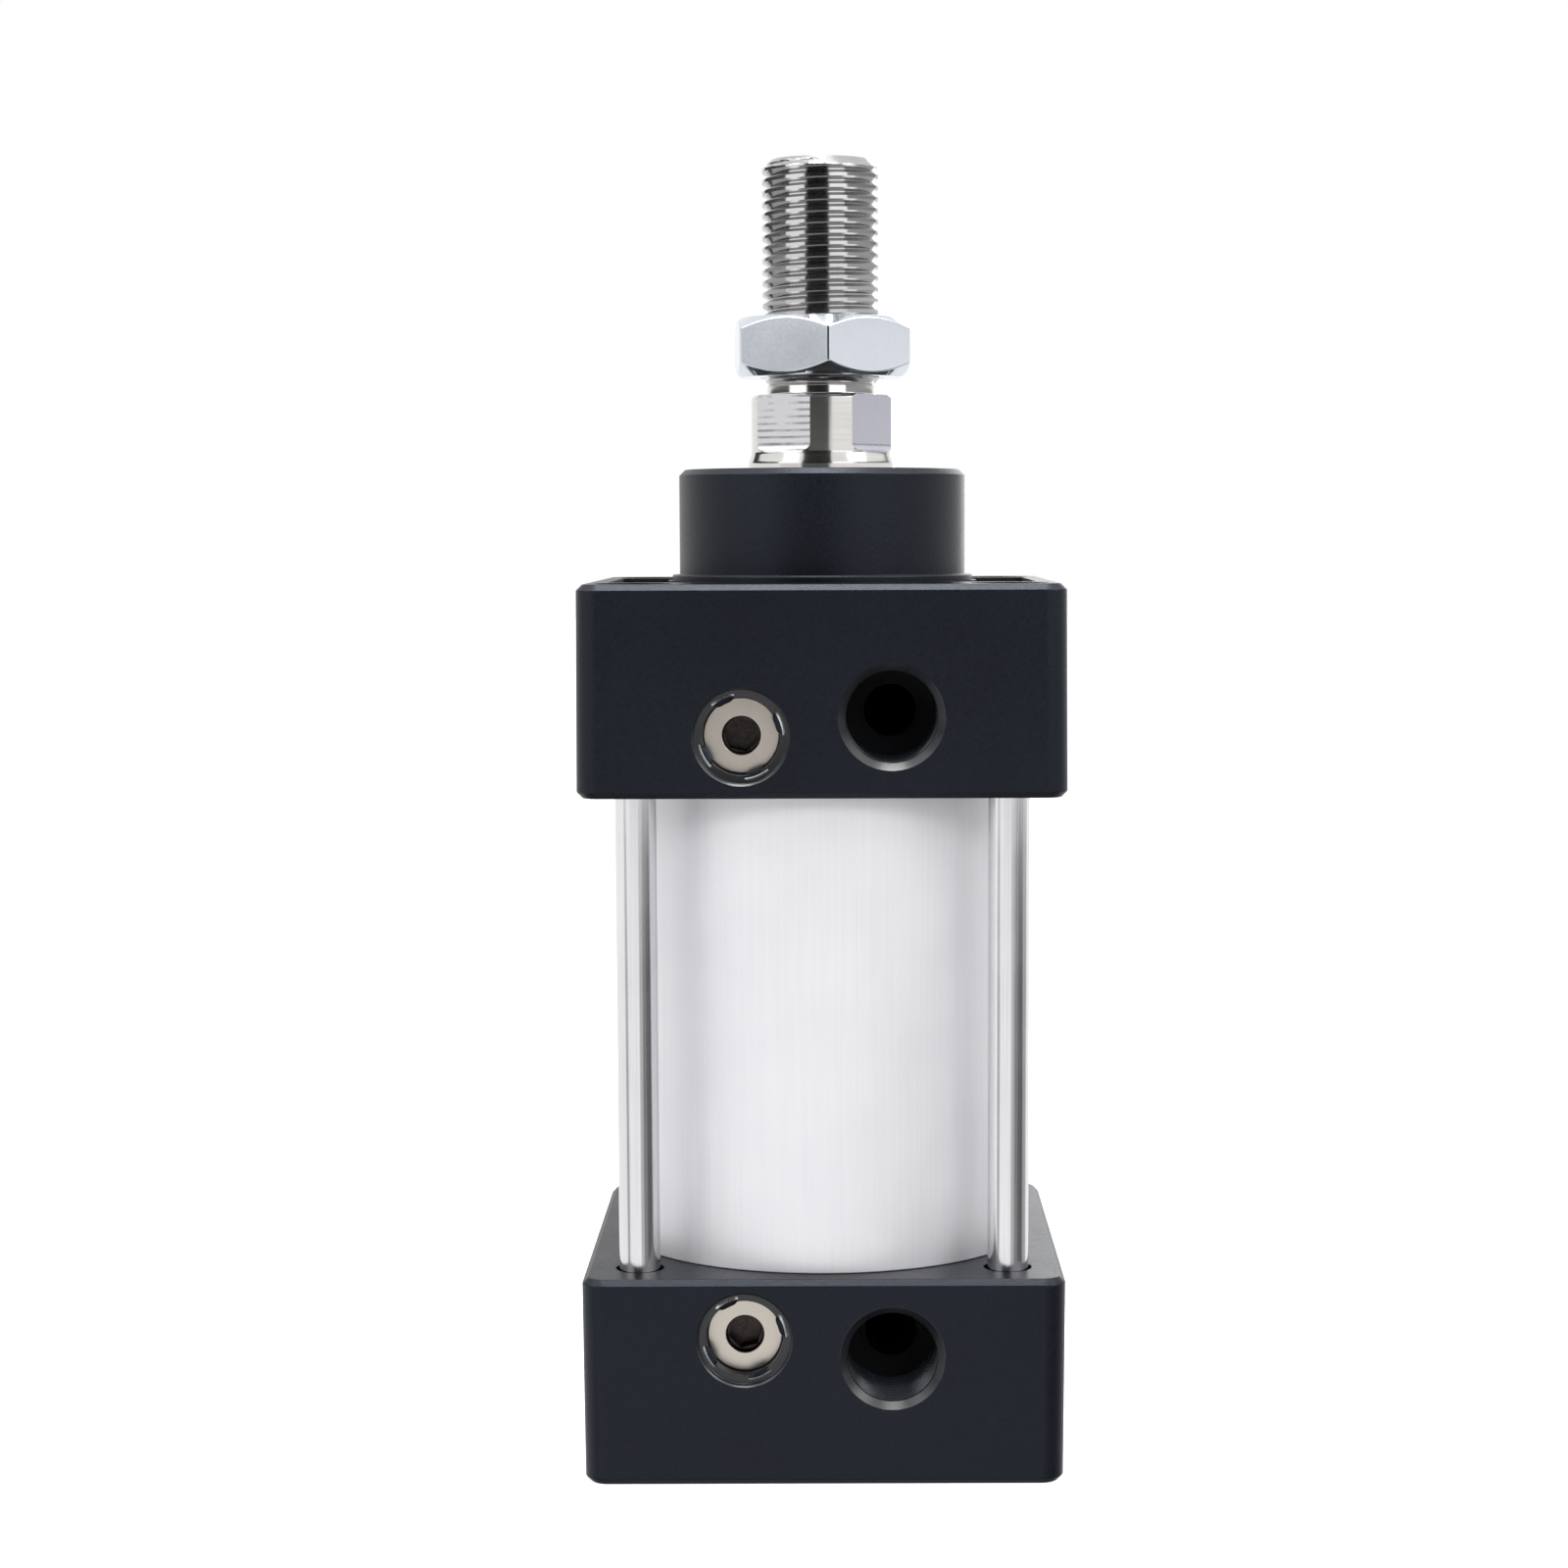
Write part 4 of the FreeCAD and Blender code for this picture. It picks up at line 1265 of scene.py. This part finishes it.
# Each card is a patch of a sphere round the cylinder that only reflections show. Its azimuths
# are in degrees from the camera's side, positive towards +X; its low and high are heights in
# metres at the sphere of 1 m.
reflectionCards = {
    "studioDark": {"from": -32, "to": 12, "low": 0.05, "high": 0.178, "grey": 0.12},
    "threadDark": {"from": -32, "to": 16, "low": 0.178, "high": 0.72, "grey": 0.02},
    "threadLeft": {"from": -72, "to": -32, "low": 0.232, "high": 0.40, "grey": 1.5},
    "threadRight": {"from": 16, "to": 52, "low": 0.232, "high": 0.40, "grey": 1.7},
    "threadSide": {"from": 52, "to": 135, "low": 0.232, "high": 0.40, "grey": 0.32},
    "threadBack": {"from": -142, "to": -72, "low": 0.232, "high": 0.40, "grey": 0.05},
    "nutShade": {"from": -68, "to": -36, "low": 0.15, "high": 0.232, "grey": 0.64},
    "sky": {"from": -60, "to": 60, "low": 0.72, "high": 0.955, "grey": 0.70},
    "skyLeft": {"from": -115, "to": -60, "low": 0.72, "high": 0.955, "grey": 3.2},
    "skyRight": {"from": 60, "to": 115, "low": 0.72, "high": 0.955, "grey": 3.2},
    "bench": {"from": -180, "to": 180, "low": -0.98, "high": -0.62, "grey": 0.20},
    "backLight": {"from": 150, "to": 178, "low": 0.06, "high": 0.60, "grey": 2.6},
    "rodLine": {"from": -66, "to": -52, "low": -0.60, "high": 0.01, "grey": 0.42},
    "rodPale": {"from": 13, "to": 30, "low": -0.60, "high": 0.01, "grey": 0.52},
    "rodGrey": {"from": 30, "to": 50, "low": -0.60, "high": 0.01, "grey": 0.24},
    "rodDark": {"from": 50, "to": 82, "low": -0.60, "high": 0.01, "grey": 0.12},
    "rodEdge": {"from": 82, "to": 110, "low": -0.60, "high": 0.01, "grey": 0.40},
}


def reflectionCard(name, card, steps=12):
    bm = bmesh.new()
    lowAngle, highAngle = math.asin(card["low"]), math.asin(card["high"])
    rings = []
    for i in range(steps + 1):
        height = lowAngle + (highAngle - lowAngle) * i / steps
        ring = []
        for j in range(steps + 1):
            turn = math.radians(card["from"] + (card["to"] - card["from"]) * j / steps)
            ring.append(bm.verts.new((math.cos(height) * math.sin(turn),
                                      -math.cos(height) * math.cos(turn), math.sin(height))))
        rings.append(ring)
    for lower, upper in zip(rings, rings[1:]):
        for j in range(steps):
            bm.faces.new((lower[j], lower[j + 1], upper[j + 1], upper[j]))
    material = bpy.data.materials.new(name)
    tree = startTree(material)
    level = card["grey"]
    glow = addNode(tree, "ShaderNodeEmission", {"Color": (level, level, level, 1), "Strength": 1.0})
    addNode(tree, "ShaderNodeOutputMaterial", {}, {"Surface": glow.outputs[0]})
    piece = makeObject(name, bm, material)
    piece.visible_camera = False
    piece.visible_diffuse = False
    piece.visible_transmission = False
    piece.visible_volume_scatter = False
    piece.visible_shadow = False


lamps = {
    "overheadSoftbox": {"at": (0.0, -0.10, 1.05), "size": (0.50, 0.30), "watts": 8.0},
    "leftSoftbox": {"at": (-0.75, -0.55, 0.60), "size": (0.40, 0.60), "watts": 1.7},
    "rightFill": {"at": (0.80, -0.42, 0.70), "size": (0.50, 0.50), "watts": 3.2},
    "frontSoftbox": {"at": (0.0, -0.95, 0.58), "size": (0.50, 0.30), "watts": 4.8,
                     "mirrored": False},
}
lampTarget = (0, 0, 0.085)


def softLamp(name, lamp):
    light = bpy.data.lights.new(name, "AREA")
    light.shape = "RECTANGLE"
    light.size, light.size_y = lamp["size"]
    light.energy = lamp["watts"]
    piece = bpy.data.objects.new(name, light)
    piece.location = lamp["at"]
    piece.visible_glossy = lamp.get("mirrored", True)
    aim = Vector(lampTarget) - Vector(lamp["at"])
    piece.rotation_euler = aim.to_track_quat("-Z", "Y").to_euler()
    bpy.context.scene.collection.objects.link(piece)


# The camera that took the photograph, from a fit to the measured edges
cameraSizes = {
    "at": (0.00198, -0.443169, 0.12547),
    "pitch": 0.108,
    "roll": 0.003,
    "sensorMm": 36,
    "focalPixels": 3282.6,
    "opticalAxis": (853.7, 891.7),
    "framePixels": 1600,
    "clip": (0.01, 50),
}


def photoCamera():
    size = cameraSizes
    camera = bpy.data.cameras.new("photoCamera")
    camera.sensor_width = size["sensorMm"]
    camera.lens = size["focalPixels"] / size["framePixels"] * camera.sensor_width
    camera.shift_x = 0.5 - size["opticalAxis"][0] / size["framePixels"]
    camera.shift_y = size["opticalAxis"][1] / size["framePixels"] - 0.5
    camera.clip_start, camera.clip_end = size["clip"]
    piece = bpy.data.objects.new("photoCamera", camera)
    piece.location = size["at"]
    piece.rotation_euler = (math.pi / 2 - size["pitch"], size["roll"], 0)
    bpy.context.scene.collection.objects.link(piece)
    bpy.context.scene.camera = piece


paleFloor()
whiteSurround()
for name, card in reflectionCards.items():
    reflectionCard(name, card)
for name, lamp in lamps.items():
    softLamp(name, lamp)
photoCamera()
bpy.context.scene.view_settings.view_transform = "Standard"
print("stage set")
